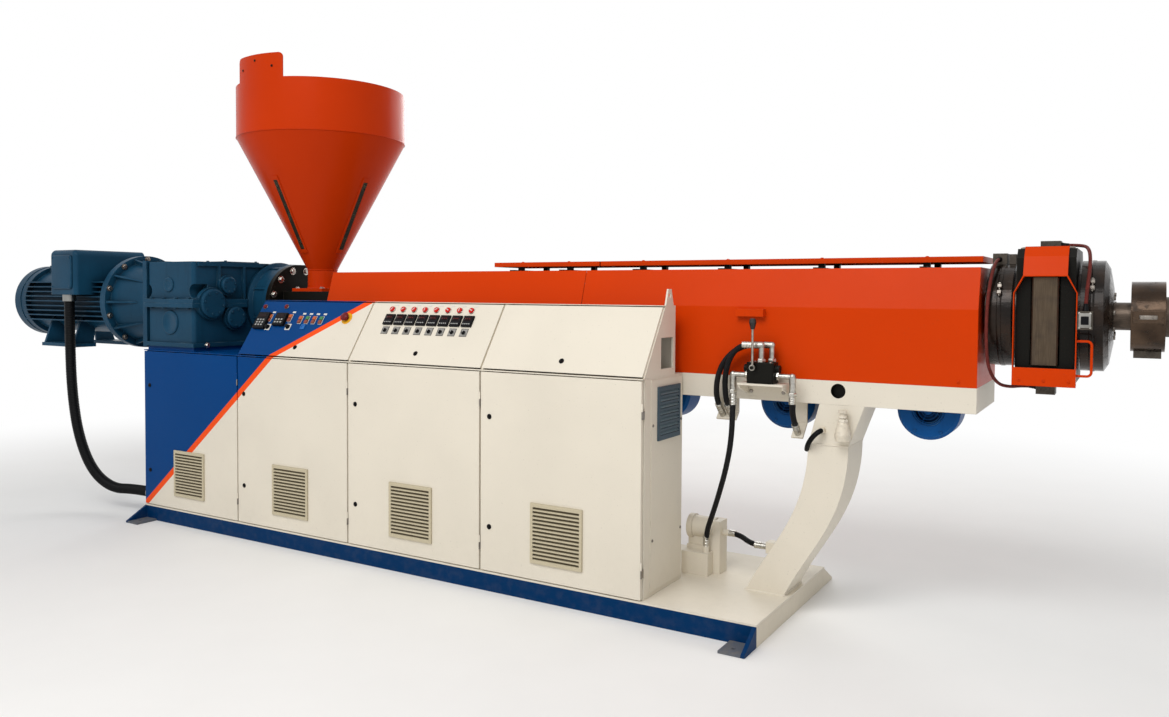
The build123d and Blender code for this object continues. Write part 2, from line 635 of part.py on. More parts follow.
def cone_ring(grow_in, grow_out, z0, z1):
    """Ring that follows the cone, its two skins moved out by the given amounts."""
    rate = (HOPPER_R - NECK_R) / (HOPPER_SHOULDER - NECK_TOP)
    r0 = NECK_R + (z0 - NECK_TOP) * rate
    r1 = NECK_R + (z1 - NECK_TOP) * rate
    return turned_z([(r0 + grow_in, z0), (r0 + grow_out, z0), (r1 + grow_out, z1), (r1 + grow_in, z1)],
                    HOPPER_X, AXIS_Y)


SIGHT_LOW = NECK_TOP + (HOPPER_SHOULDER - NECK_TOP) * 0.15
SIGHT_HIGH = NECK_TOP + (HOPPER_SHOULDER - NECK_TOP) * 0.67


def sight_strip(width, margin):
    """Upright slab in front of the hopper axis that cuts one window strip."""
    return block(HOPPER_X - width / 2, HOPPER_X + width / 2, AXIS_Y - 2 * HOPPER_R, AXIS_Y,
                 SIGHT_LOW - margin, SIGHT_HIGH + margin)


def hopper_cone():
    """Sheet cone, slotted for two sight windows."""
    cone = cone_ring(-SHELL_T, 0, NECK_TOP, HOPPER_SHOULDER)
    slot = sight_strip(SIGHT_WIDTH * 0.6, 0)
    spin = Axis((HOPPER_X, AXIS_Y, 0), (0, 0, 1))
    return cone - slot - slot.rotate(spin, 90)


def hopper_neck():
    """Short pipe under the cone, welded into a square flange."""
    pipe = turned_z([(NECK_R - SHELL_T, NECK_BOTTOM), (NECK_R, NECK_BOTTOM), (NECK_R, NECK_TOP),
                     (NECK_R - SHELL_T, NECK_TOP)], HOPPER_X, AXIS_Y)
    half = FLANGE_PLATE / 2
    flange = block(HOPPER_X - half, HOPPER_X + half, AXIS_Y - half, AXIS_Y + half, FEED_TOP, NECK_BOTTOM)
    return pipe + (flange - rod_z(HOPPER_X, AXIS_Y, FEED_TOP, NECK_BOTTOM, NECK_R - SHELL_T))


def sight_windows():
    strip = cone_ring(FIT, SIGHT_T, SIGHT_LOW - 20, SIGHT_HIGH + 20) & sight_strip(SIGHT_WIDTH, 20)
    spin = Axis((HOPPER_X, AXIS_Y, 0), (0, 0, 1))
    return [strip, strip.rotate(spin, 90)]


# Barrel, beam, blowers and guard
GUARD_LEFT = LEFT + 1340.0
GUARD_LENGTH = BEAM_RIGHT - GUARD_LEFT
GUARD_SEAM = GUARD_LEFT + GUARD_LENGTH * 0.4915
GUARD_LEAN = 58.0
BARREL_R = 95.0
BAND_HALF = 209.0           # half length of one barrel heater
BARREL_RIGHT = BEAM_RIGHT + HEAVY
BLOWER_X = BEAM_RIGHT - 233.0
BLOWER_FIRST = FEED_RIGHT + 537.0
BLOWER_PITCH = (BLOWER_X - BLOWER_FIRST) / (BLOWER_COUNT - 1)
BLOWER_R = 145.0
BLOWER_Z = AXIS_Z - 460.0
BLOWER_FRONT = AXIS_Y - 170.0
BLOWER_DEPTH = 170.0
RAIL_T = 8.0
RAIL_FLANGE = 70.0


def blower_places():
    return [BLOWER_X - BLOWER_PITCH * k for k in range(BLOWER_COUNT)]


def barrel():
    """Barrel with one heater sleeve over each blower and an end flange."""
    outline = [(FEED_RIGHT, 0), (FEED_RIGHT, BARREL_R + 30), (FEED_RIGHT + 40, BARREL_R + 30),
               (FEED_RIGHT + 40, BARREL_R)]
    for x in reversed(blower_places()):
        x0, x1 = x - BAND_HALF, x + BAND_HALF
        outline += [(x0, BARREL_R), (x0, BAND_R), (x1, BAND_R), (x1, BARREL_R)]
    outline += [(BARREL_RIGHT, BARREL_R), (BARREL_RIGHT, 0)]
    return turned_x(outline, AXIS_Y, AXIS_Z)


def support_beam():
    """Two rails joined by end plates and cross ties."""
    beam = channel_x(BEAM_LEFT, BEAM_RIGHT, BEAM_FRONT, 1, BEAM_BOTTOM, FACE_TOP, RAIL_FLANGE, RAIL_T)
    beam += channel_x(BEAM_LEFT, BEAM_RIGHT, BEAM_BACK, -1, BEAM_BOTTOM, FACE_TOP, RAIL_FLANGE, RAIL_T)
    spots = [BEAM_LEFT, BEAM_RIGHT - HEAVY] + [x - BLOWER_PITCH / 2 for x in blower_places()[:-1]]
    for x in spots:
        beam += block(x, x + HEAVY, BEAM_FRONT, BEAM_BACK, BEAM_BOTTOM, FACE_TOP)
    hole_x = BEAM_RIGHT - 629.0
    beam -= rod_y(hole_x, BEAM_FRONT, BEAM_FRONT + RAIL_T, FACE_TOP - BEAM_HEIGHT * 0.42, 36.0)
    beam += hose_hanger(SIDE_X - 30, SIDE_X + 30, SIDE_HANG)
    beam += hose_hanger(LOOP_XS[0] - 30, LOOP_XS[1] + 30, LOOP_HANG)
    return beam + valve_bracket()


def cooling_blowers():
    """Round blowers slung under the beam, each with its duct and motor."""
    units = []
    front, back = BLOWER_FRONT, BLOWER_FRONT + BLOWER_DEPTH
    for x in blower_places():
        drum = turned_y([(front, BLOWER_R * 0.45), (front, BLOWER_R * 0.9), (front + 14, BLOWER_R),
                         (back - 14, BLOWER_R), (back, BLOWER_R * 0.9), (back, 0), (front + 60, 0),
                         (front + 60, BLOWER_R * 0.45)], x, BLOWER_Z)
        drum += rod_y(x, back, back + 110, BLOWER_Z, BLOWER_R * 0.48)
        drum += block(x - 55, x + 55, front + 35, back - 35, BLOWER_Z + 80, AXIS_Z - BAND_R - HEAVY)
        drum += block(x - 30, x + 30, BEAM_FRONT + 30, BEAM_BACK - 30, BEAM_BOTTOM - 8, BEAM_BOTTOM)
        units.append(drum - rod_y(x, front, front + 60, BLOWER_Z, BLOWER_R * 0.45))
    return units


def guard_outline(place):
    """Bent sheet section; place puts a distance from the front on either side."""
    y0, y1 = place(BEAM_FRONT), place(BEAM_FRONT + GUARD_LEAN)
    t0, t1 = place(BEAM_FRONT + SKIN), place(BEAM_FRONT + GUARD_LEAN + SKIN)
    return [(y0, FACE_TOP), (y0, GUARD_BEND), (y1, GUARD_TOP),
            (t1, GUARD_TOP), (t0, GUARD_BEND), (t0, FACE_TOP)]


def guard_sides():
    """Front and rear sheets, each in two lengths, with a grip on the front."""
    outline = guard_outline(lambda y: y)
    left = plate_yz(outline, GUARD_LEFT, GUARD_SEAM - SKIN)
    right = plate_yz(outline, GUARD_SEAM, BEAM_RIGHT)
    grip_x = BEAM_RIGHT - 1153.0
    grip = block(grip_x, grip_x + 150, BEAM_FRONT - 36, BEAM_FRONT, GUARD_BEND - 50, GUARD_BEND - 12)
    grip -= block(grip_x + SKIN, grip_x + 147, BEAM_FRONT - 33, BEAM_FRONT, GUARD_BEND - 50, GUARD_BEND - 15)
    rear = guard_outline(mirror_y)
    return [left, right + grip, plate_yz(rear, GUARD_LEFT, GUARD_SEAM - SKIN),
            plate_yz(rear, GUARD_SEAM, BEAM_RIGHT)]


def guard_ends():
    y0, y1 = BEAM_FRONT + SKIN, BEAM_FRONT + GUARD_LEAN + SKIN
    outline = [(y0, FACE_TOP), (y0, GUARD_BEND), (y1, GUARD_TOP), (mirror_y(y1), GUARD_TOP),
               (mirror_y(y0), GUARD_BEND), (mirror_y(y0), FACE_TOP)]
    ends = []
    for x0, x1 in ((GUARD_LEFT, GUARD_LEFT + SKIN), (BEAM_RIGHT - SKIN, BEAM_RIGHT)):
        ends.append(plate_yz(outline, x0, x1) - rod_x(x0, x1, AXIS_Y, AXIS_Z, BARREL_R + FIT))
    return ends


ROOF_HALF = 179.0
ROOF_TOP = GUARD_TOP + 53.0
ROOF_LIP = 27.0
ROOF_LEFT = GUARD_LEFT + GUARD_LENGTH * 0.321
BAR_T = 6.0


def roof_cover(x0, x1):
    """Shallow upturned tray over the gap along the top of the guard."""
    y0, y1 = AXIS_Y - ROOF_HALF, AXIS_Y + ROOF_HALF
    tray = block(x0, x1, y0, y1, ROOF_TOP - ROOF_LIP, ROOF_TOP)
    return tray - block(x0 + SKIN, x1 - SKIN, y0 + SKIN, y1 - SKIN, ROOF_TOP - ROOF_LIP, ROOF_TOP - SKIN)


def guard_roof():
    return [roof_cover(ROOF_LEFT, GUARD_SEAM + 45), roof_cover(GUARD_SEAM + 55, BEAM_RIGHT)]


def roof_spacers():
    """Flat bars across the guard with a block under each side of the roof."""
    bars = []
    y0 = BEAM_FRONT + GUARD_LEAN
    for start, stop, count in ((ROOF_LEFT, GUARD_SEAM, 2), (GUARD_SEAM + 55, BEAM_RIGHT, 4)):
        for k in range(count):
            x = start + (stop - start) * (k + 0.5) / count
            bar = block(x - 15, x + 15, y0, mirror_y(y0), GUARD_TOP, GUARD_TOP + BAR_T)
            for side in (-1, 1):
                y = AXIS_Y + side * (ROOF_HALF - 40)
                bar += block(x - 15, x + 15, y - 15, y + 15, GUARD_TOP, ROOF_TOP - SKIN)
            bars.append(bar)
    return bars


# Curved leg under the beam
LEG_TOP_LEFT = BEAM_RIGHT - 720.0
LEG_TOP_WIDTH = 220.0
LEG_KNEE = FACE_TOP - 323.0
LEG_KNEE_LEFT = LEG_TOP_LEFT - 55.0
LEG_KNEE_WIDTH = 200.0
LEG_FOOT_LEFT = RIGHT - 232.0
LEG_FOOT_WIDTH = 202.0
LEG_DEPTH = BEAM_WIDTH * 0.45
LEG_PAD_X = LEG_FOOT_LEFT + 40.0
LEG_PAD_Z = BASE_HEIGHT + 180.0
PUMP_Y = AXIS_Y - 90.0


def support_leg():
    """Box leg that sweeps from the beam back to the deck, with a hose pad."""
    y = BEAM_FRONT
    top_left = Vector(LEG_TOP_LEFT, y, BEAM_BOTTOM)
    top_right = Vector(LEG_TOP_LEFT + LEG_TOP_WIDTH, y, BEAM_BOTTOM)
    knee_left = Vector(LEG_KNEE_LEFT, y, LEG_KNEE)
    knee_right = Vector(LEG_KNEE_LEFT + LEG_KNEE_WIDTH, y, LEG_KNEE)
    foot_left = Vector(LEG_FOOT_LEFT, y, BASE_HEIGHT)
    foot_right = Vector(LEG_FOOT_LEFT + LEG_FOOT_WIDTH, y, BASE_HEIGHT)
    down = Vector(0, 0, -1)
    sweep_in = Vector(-0.42, 0, -0.9)
    left = Spline(knee_left, foot_left, tangents=(down, sweep_in))
    right = Spline(foot_right, knee_right, tangents=(sweep_in * -1, down * -1))
    outline = Curve() + [Line(top_left, knee_left), left, Line(foot_left, foot_right), right,
                         Line(knee_right, top_right), Line(top_right, top_left)]
    leg = extrude(make_face(outline), amount=LEG_DEPTH, dir=(0, 1, 0))
    pad = block(LEG_PAD_X, LEG_PAD_X + 90, PUMP_Y - 30, PUMP_Y + 30, LEG_PAD_Z - 30, LEG_PAD_Z + 30)
    return leg + pad


def leg_fittings():
    """Bell-shaped filler on a stub and a plain gland, both on the leg front."""
    x = LEG_TOP_LEFT + 127.0
    y = BEAM_FRONT - 40.0
    top = BEAM_BOTTOM - 18.0
    bell = turned_z([(0, top - 150), (36, top - 150), (40, top - 120), (26, top - 68), (15, top - 48),
                     (15, top - 16), (21, top - 14), (21, top), (0, top)], x, y)
    bell += rod_y(x, y, BEAM_FRONT, top - 110, 16.0)
    gland_x = LEG_TOP_LEFT + 18.0
    gland = rod_y(gland_x, BEAM_FRONT - 30, BEAM_FRONT, BEAM_BOTTOM - 128, 16.0)
    return [bell, gland]


# Lever valve, pump and hoses
VALVE_X = BEAM_RIGHT - 985.0
VALVE_WIDTH = 140.0
VALVE_BACK = BEAM_FRONT - 40.0
VALVE_FRONT = BEAM_FRONT - 130.0
BRACKET_TOP = FACE_TOP - 23.0
VALVE_TOP = BRACKET_TOP + 105.0
PORT_Y = (VALVE_BACK + VALVE_FRONT) / 2
PORT_Z = BRACKET_TOP + 38.0
PORT_REACH = 85.0
PORT_DROP = 98.0
PORT_R = 17.0
HOSE_D = 29.0
VALVE_LEFT = VALVE_X - VALVE_WIDTH / 2
VALVE_RIGHT = VALVE_X + VALVE_WIDTH / 2
RISER_TOP = VALVE_TOP + 85.0
RISER_YS = (VALVE_BACK - 17.0, VALVE_FRONT + 22.0)
RISER_XS = (VALVE_X + 38.0, VALVE_X + 2.0)
STUB = 35.0
RUN_OUT = 65.0              # straight hose before a union
HANGER_BACK = BEAM_FRONT + RAIL_FLANGE
SIDE_X = VALVE_RIGHT + PORT_REACH
LOOP_XS = (VALVE_LEFT - PORT_REACH - 105.0, VALVE_LEFT - PORT_REACH - 55.0)
LOOP_HANG = (HANGER_BACK - 30.0, BEAM_BOTTOM - 95.0)
SIDE_SWING = RUN_OUT * (sin(radians(45)) + sin(radians(22.5))) + STUB / sqrt(2)
SIDE_HANG = (PORT_Y + SIDE_SWING, BEAM_BOTTOM - 156.0)
LEVER_X = VALVE_LEFT + 40.0
LEVER_Z = VALVE_TOP - 25.0
LEVER_BOSS_R = 15.0
LEVER_PIN_R = 5.0
LEVER_BACK = VALVE_FRONT - 12.0
LEVER_FRONT = LEVER_BACK - 14.0


def valve_bracket():
    x0, x1 = VALVE_LEFT - 40, VALVE_RIGHT + 55
    shelf = block(x0, x1, VALVE_FRONT - 15, BEAM_FRONT, BRACKET_TOP - HEAVY, BRACKET_TOP)
    shelf += block(x0, x1, BEAM_FRONT - HEAVY, BEAM_FRONT, BEAM_BOTTOM + 20, BRACKET_TOP)
    for x in (x0, x1 - HEAVY):
        shelf += plate_yz([(BEAM_FRONT, BEAM_BOTTOM + 30), (BEAM_FRONT, BRACKET_TOP),
                           (VALVE_FRONT, BRACKET_TOP), (VALVE_FRONT, BRACKET_TOP - 25)], x, x + HEAVY)
    return shelf


def hose_hanger(x0, x1, spot):
    """Bent tongue under the front rail whose sloping face holds a union at spot."""
    y, z = spot
    back, front = HANGER_BACK, HANGER_BACK - HEAVY
    rise = z - y
    return plate_yz([(front, BEAM_BOTTOM), (front, rise + front), (y - 18, z - 18), (y - 11, z - 25),
                     (back, rise + back - HEAVY * sqrt(2)), (back, BEAM_BOTTOM)], x0, x1)


def union_mouth(spot):
    """Free end of a union, in the Y and Z of its hanger."""
    reach = STUB / sqrt(2)
    return spot[0] - reach, spot[1] + reach


def hanging_union(x, spot):
    face = Plane(origin=(x, *spot), x_dir=(1, 0, 0), z_dir=(0, -1, 1))
    return face * Pos(0, 0, STUB / 2) * Cylinder(PORT_R, STUB)


def run_to_union(x, spot):
    """Last two corners and the end of a hose that drops onto a hanging union."""
    y, z = union_mouth(spot)
    corner_y, corner_z = y - RUN_OUT * sin(radians(45)), z + RUN_OUT * cos(radians(45))
    upper_y = corner_y - RUN_OUT * sin(radians(22.5))
    upper_z = corner_z + RUN_OUT * cos(radians(22.5))
    return [(x, upper_y, upper_z), (x, corner_y, corner_z), (x, y, z)]


def valve_body():
    """Valve block with spool caps and the lever pin on its front."""
    body = block(VALVE_LEFT, VALVE_RIGHT, VALVE_FRONT, VALVE_BACK, BRACKET_TOP, VALVE_TOP)
    body = chamfer(body.edges().filter_by(Axis.Z), length=HEAVY)
    for a, b in ((VALVE_LEFT - 22, VALVE_LEFT), (VALVE_RIGHT, VALVE_RIGHT + 22)):
        body += rod_x(a, b, PORT_Y, VALVE_TOP - 32, 20.0)
    body += rod_y(LEVER_X, LEVER_FRONT - 7, VALVE_FRONT, LEVER_Z, LEVER_PIN_R)
    body += rod_y(LEVER_X, LEVER_FRONT - 7, LEVER_FRONT - 2, LEVER_Z, LEVER_PIN_R + 4)
    return body


def valve_lever():
    boss = rod_y(LEVER_X, LEVER_FRONT, LEVER_BACK, LEVER_Z, LEVER_BOSS_R)
    mid = (LEVER_FRONT + LEVER_BACK) / 2
    reach = 235.0
    boss += rod_z(LEVER_X, mid, LEVER_Z + 8, LEVER_Z + reach - 30, 6.0)
    boss += turned_z([(0, LEVER_Z + reach - 45), (10, LEVER_Z + reach - 45), (18, LEVER_Z + reach - 12),
                      (16, LEVER_Z + reach + 4), (8, LEVER_Z + reach + HEAVY), (0, LEVER_Z + reach + HEAVY)],
                     LEVER_X, mid)
    return boss - rod_y(LEVER_X, LEVER_FRONT, LEVER_BACK, LEVER_Z, LEVER_PIN_R + RUN)


def hose_fittings():
    """Bright elbows on the valve: one at each side and two on top."""
    fittings = []
    for face, side in ((VALVE_LEFT, -1), (VALVE_RIGHT, 1)):
        far = face + side * PORT_REACH
        a, b = sorted((face, far))
        fittings.append(rod_x(a, b, PORT_Y, PORT_Z, PORT_R * 0.8) + Pos(far, PORT_Y, PORT_Z) * Sphere(PORT_R)
                        + rod_z(far, PORT_Y, PORT_Z - PORT_DROP, PORT_Z, PORT_R))
    for x, y in zip(RISER_XS, RISER_YS):
        stem = rod_z(x, y, VALVE_TOP, RISER_TOP, PORT_R * 0.8)
        fittings.append(stem + Pos(x, y, RISER_TOP) * Sphere(PORT_R) + rod_x(x - 40, x, y, RISER_TOP, PORT_R))
    return fittings


PUMP_X0 = CAB_RIGHT - 40.0
PUMP_X1 = CAB_RIGHT + 115.0
PUMP_BASE = BASE_HEIGHT + 143.0
PUMP_Z = PUMP_BASE + 95.0
PUMP_HALF = 50.0
MANIFOLD_DEPTH = 70.0
MANIFOLD_TOP = BASE_HEIGHT + 123.0
HOSE_END_X = PUMP_X1 - 25.0
HOSE_END_Y = PUMP_Y - PUMP_HALF - MANIFOLD_DEPTH / 2


def pump_unit():
    """Small pump set on the deck: stand, motor, pump block and manifold."""
    front, back = PUMP_Y - PUMP_HALF, PUMP_Y + PUMP_HALF
    unit = block(PUMP_X0, PUMP_X1, front, back, BASE_HEIGHT, PUMP_BASE)
    unit += block(PUMP_X1 - 25, PUMP_X1 + 40, front, back, BASE_HEIGHT, PUMP_Z + 50)
    unit += rod_x(PUMP_X0 + 30, PUMP_X1, PUMP_Y, PUMP_Z, 58.0)
    unit += rod_x(PUMP_X0, PUMP_X0 + 30, PUMP_Y, PUMP_Z, 66.0)
    unit += block(PUMP_X0, PUMP_X1, PUMP_Y - 30, PUMP_Y + 30, PUMP_BASE, PUMP_Z)
    unit += block(PUMP_X0, PUMP_X1, front - MANIFOLD_DEPTH, front, BASE_HEIGHT, MANIFOLD_TOP)
    unit += rod_z(HOSE_END_X, HOSE_END_Y, MANIFOLD_TOP, MANIFOLD_TOP + STUB, PORT_R)
    unit += rod_x(PUMP_X1 + 40, PUMP_X1 + 40 + STUB, PUMP_Y, PUMP_Z - 15, PORT_R)
    return unit


def pipe_fittings():
    """All unions, elbows and glands that hoses and the conduit end in."""
    lower = rod_x(LEG_PAD_X - STUB, LEG_PAD_X, PUMP_Y, LEG_PAD_Z, PORT_R)
    hanging = [hanging_union(SIDE_X, SIDE_HANG)] + [hanging_union(x, LOOP_HANG) for x in LOOP_XS]
    return [lower] + hanging + hose_fittings() + conduit_glands() + leg_fittings()


def port_hose_points():
    """From the left elbow straight down, then left and back to the pump."""
    start = (VALVE_LEFT - PORT_REACH, PORT_Y, PORT_Z - PORT_DROP)
    end = (HOSE_END_X, HOSE_END_Y, MANIFOLD_TOP + STUB)
    parts = [(0, 0, 0.08), (0.05, 0.06, 0.28), (0.22, 0.20, 0.46), (0.47, 0.43, 0.63), (0.75, 0.74, 0.785),
             (1, 1, 0.915)]
    return [start, *blend(start, end, parts), end]


def top_hose_points(which):
    """From a top elbow over to the left in a loop, then down under the front rail."""
    x, y = RISER_XS[which] - 40, RISER_YS[which]
    run = run_to_union(LOOP_XS[which], LOOP_HANG)
    low_x, low_y, low_z = run[0]
    bow, back, fall = x - low_x, low_y - y, RISER_TOP - low_z
    shares = [(0.27, 0), (0.58, 0.10), (0.84, 0.36), (0.97, 0.68)]
    loop = [(x - bow * a, y + back * b, RISER_TOP - fall * b) for a, b in shares]
    return [(x, y, RISER_TOP), *loop, *run]


def side_hose_points():
    """Short drop from the right elbow that turns back under the front rail."""
    return [(SIDE_X, PORT_Y, PORT_Z - PORT_DROP), *run_to_union(SIDE_X, SIDE_HANG)]


def pump_hose_points():
    start = (PUMP_X1 + 40 + STUB, PUMP_Y, PUMP_Z - 15)
    end = (LEG_PAD_X - STUB, PUMP_Y, LEG_PAD_Z)
    return [start, *blend(start, end, [(0.30, 0, 0), (0.70, 1, 1)]), end]


# Screen changer and die end
CHANGER_LEFT = BEAM_RIGHT + 150.0
CHANGER_WIDTH = 236.0
CHANGER_RIGHT = CHANGER_LEFT + CHANGER_WIDTH
CHANGER_X = (CHANGER_LEFT + CHANGER_RIGHT) / 2
CHANGER_HALF = 260.0
CHANGER_FRONT = AXIS_Y - CHANGER_HALF
CHANGER_BACK = AXIS_Y + CHANGER_HALF
CHANGER_RISE = 300.0
CHANGER_EDGE = 40.0
SLIDE_T = 106.0
SLIDE_HALF = 194.0
SLIDE_FRONT = CHANGER_FRONT - 20.0
SLIDE_BACK = CHANGER_BACK + 70.0
SLIDE_STROKE = 240.0
SLIDE_MID = AXIS_Z - 22.0
ROD_R = 24.0
YOKE_Y = SLIDE_BACK + 110.0
YOKE_T = 22.0
CYLINDER_R = 58.0
CYLINDER_L = 330.0
HOOD_FRONT = BEAM_FRONT


def inlet_ring():
    x0, x1 = BARREL_RIGHT, CHANGER_LEFT
    return turned_x([(x0, 0), (x0, RING_R * 0.8), (x0 + 12, RING_R * 0.8), (x0 + 12, RING_R),
                     (x1 - 22, RING_R), (x1 - 22, RING_R * 0.86), (x1, RING_R * 0.86), (x1, 0)],
                    AXIS_Y, AXIS_Z)


def changer_body():
    """Heavy block slotted from front to back for the slide plate."""
    body = block(CHANGER_LEFT, CHANGER_RIGHT, CHANGER_FRONT, CHANGER_BACK, AXIS_Z - CHANGER_RISE,
                 AXIS_Z + CHANGER_RISE)
    body = chamfer(body.edges().filter_by(Axis.X), length=CHANGER_EDGE)
    half = SLIDE_T / 2 + CLEAR
    return body - block(CHANGER_X - half, CHANGER_X + half, CHANGER_FRONT, CHANGER_BACK,
                        SLIDE_MID - SLIDE_HALF - FIT, SLIDE_MID + SLIDE_HALF + CLEAR)


def slide_plate():
    """Plate with its two screen pockets and the piston rod behind it."""
    half = SLIDE_T / 2
    plate = block(CHANGER_X - half, CHANGER_X + half, SLIDE_FRONT, SLIDE_BACK, SLIDE_MID - SLIDE_HALF,
                  SLIDE_MID + SLIDE_HALF)
    plate = chamfer(plate.edges().filter_by(Axis.Z).group_by(Axis.Y)[0], length=6.0)
    for y in (AXIS_Y, AXIS_Y + SLIDE_STROKE):
        plate -= rod_x(CHANGER_X - half, CHANGER_X + half, y, AXIS_Z, BAND_R * 0.5)
    return plate + rod_y(CHANGER_X, SLIDE_BACK, YOKE_Y + CYLINDER_L - 40, AXIS_Z, ROD_R)


def slide_cylinder():
    """Yoke on two tie rods with the cylinder that moves the slide plate."""
    y0, y1 = YOKE_Y, YOKE_Y + YOKE_T
    end = y1 + CYLINDER_L
    tie_z = SLIDE_HALF + 30.0
    yoke = block(CHANGER_X - 55, CHANGER_X + 55, y0, y1, SLIDE_MID - tie_z - 35, SLIDE_MID + tie_z + 35)
    yoke += turned_y([(y1, 0), (y1, CYLINDER_R), (end, CYLINDER_R), (end, 0)], CHANGER_X, AXIS_Z)
    for z in (SLIDE_MID - tie_z, SLIDE_MID + tie_z):
        yoke += rod_y(CHANGER_X, CHANGER_BACK, y0, z, 14.0)
    bore = rod_y(CHANGER_X, y0, y1, AXIS_Z, ROD_R + RUN)
    return yoke - bore - rod_y(CHANGER_X, y1, end - 20, AXIS_Z, ROD_R + 16)


def changer_guard():
    """Orange sheet hood round the slide opening, with tray and a lid bent over the body."""
    x0, x1 = CHANGER_LEFT - 8, CHANGER_RIGHT + 8
    low, high, knee = AXIS_Z - 307.0, AXIS_Z + 179.0, AXIS_Z + 103.0
    lean = 38.0
    y0, y1 = HOOD_FRONT, CHANGER_FRONT
    outer = plate_xz([(x0, low), (x1, low), (x1, knee), (x1 - lean, high), (x0 + lean, high), (x0, knee)],
                     y0, y1)
    t = SKIN + 1
    inner = plate_xz([(x0 + t, low + t), (x1 - t, low + t), (x1 - t, knee), (x1 - lean - t, high - t),
                      (x0 + lean + t, high - t), (x0 + t, knee)], y0, y1)
    hood = outer - inner
    hood += block(x0, x1, y0, y0 + t, low, low + 80)
    bend = AXIS_Z + CHANGER_RISE - CHANGER_EDGE
    end_y, end_z = y1 + CHANGER_EDGE, bend + CHANGER_EDGE
    hood += plate_yz([(y0, high - t), (y0, high), (y1 - 5, bend + 5), (end_y, end_z + 10), (end_y, end_z + 5),
                      (y1 - 2, bend + 3), (y0 + t, high - t)],
                     x0 + lean, x1 - lean)
    return hood


def guard_switch():
    x0 = CHANGER_RIGHT + 8
    return block(x0, x0 + 60, HOOD_FRONT, CHANGER_FRONT - CLEAR, AXIS_Z - 55, AXIS_Z + 25)


def outlet_ring():
    x0 = CHANGER_RIGHT
    r = RING_R + 10
    return turned_x([(x0, 0), (x0, r * 0.86), (x0 + 15, r * 0.86), (x0 + 15, r), (x0 + 105, r),
                     (x0 + 125, r * 0.86), (x0 + 140, r * 0.5), (x0 + 140, 0)], AXIS_Y, AXIS_Z)


DIE_LEFT = CHANGER_RIGHT + 140.0
NECK_LENGTH = 66.0
DIE_NECK_R = 62.0
DIE_RING_L = 130.0
DIE_RING_R = 155.0
DIE_CORE_R = 88.0
DIE_BORE = 40.0
DIE_BORE_L = 120.0
DIE_FLANGE_R = 120.0
DIE_FLANGE_T = 36.0
DIE_BOLTS = 8
DIE_PCD = 205.0
DIE_HOLE_R = 7.0
DIE_RIGHT = DIE_LEFT + NECK_LENGTH + DIE_RING_L + 70.0


def die_neck():
    """Neck with the outlet flange that a die bolts to."""
    x0, x1 = DIE_LEFT, DIE_RIGHT
    core = DIE_CORE_R
    neck = turned_x([(x0, 0), (x0, DIE_NECK_R), (x0 + NECK_LENGTH, DIE_NECK_R), (x0 + NECK_LENGTH, core),
                     (x1 - DIE_FLANGE_T, core), (x1 - DIE_FLANGE_T, DIE_FLANGE_R), (x1, DIE_FLANGE_R), (x1, 0)],
                    AXIS_Y, AXIS_Z)
    neck -= rod_x(x1 - DIE_BORE_L, x1, AXIS_Y, AXIS_Z, DIE_BORE)
    hole = rod_x(x1 - DIE_FLANGE_T, x1, AXIS_Y, AXIS_Z + DIE_PCD / 2, DIE_HOLE_R)
    for k in range(DIE_BOLTS):
        neck -= hole.rotate(Axis((0, AXIS_Y, AXIS_Z), (1, 0, 0)), 360 / DIE_BOLTS * k)
    return neck


def die_ring():
    """Split heater band round the die neck."""
    x0 = DIE_LEFT + NECK_LENGTH
    inner = DIE_CORE_R + FIT
    band = turned_x([(x0, inner), (x0, DIE_RING_R), (x0 + DIE_RING_L, DIE_RING_R), (x0 + DIE_RING_L, inner)],
                    AXIS_Y, AXIS_Z)
    ears = block(x0 + 8, x0 + DIE_RING_L - 8, AXIS_Y - DIE_RING_R - 22, AXIS_Y - DIE_RING_R + HEAVY,
                 AXIS_Z - 26, AXIS_Z + 26)
    return band + ears


def heater_boxes():
    """Connection boxes on the rings and changer body, and the guard switch."""
    ring_x = BARREL_RIGHT + 14
    cut = rod_x(BARREL_RIGHT, CHANGER_LEFT, AXIS_Y, AXIS_Z, RING_R + FIT)
    crown = AXIS_Z + RING_R
    boxes = [block(ring_x, ring_x + 62, AXIS_Y - 45, AXIS_Y + 45, crown - 20, crown + 48) - cut,
             block(ring_x + 72, ring_x + 102, AXIS_Y - 45, AXIS_Y + 45, crown - 20, crown + 44) - cut]
    boxes.append(block(CHANGER_X - 42, CHANGER_X + 42, AXIS_Y - 45, AXIS_Y + 45, AXIS_Z + CHANGER_RISE,
                       AXIS_Z + CHANGER_RISE + 42))
    boxes.append(block(CHANGER_X - 50, CHANGER_X + 30, AXIS_Y - 45, AXIS_Y + 45, AXIS_Z - CHANGER_RISE - 66,
                       AXIS_Z - CHANGER_RISE))
    die_x = DIE_LEFT + NECK_LENGTH
    die_cut = rod_x(die_x, die_x + DIE_RING_L, AXIS_Y, AXIS_Z, DIE_RING_R + FIT)
    boxes.append(block(die_x + 12, die_x + DIE_RING_L - 12, AXIS_Y - 35, AXIS_Y + 35, AXIS_Z - DIE_RING_R - 28,
                       AXIS_Z - DIE_RING_R + 20) - die_cut)
    return boxes + [guard_switch()]


def heater_rings():
    return [inlet_ring(), outlet_ring(), die_ring()]


LEAD_D = 15.0


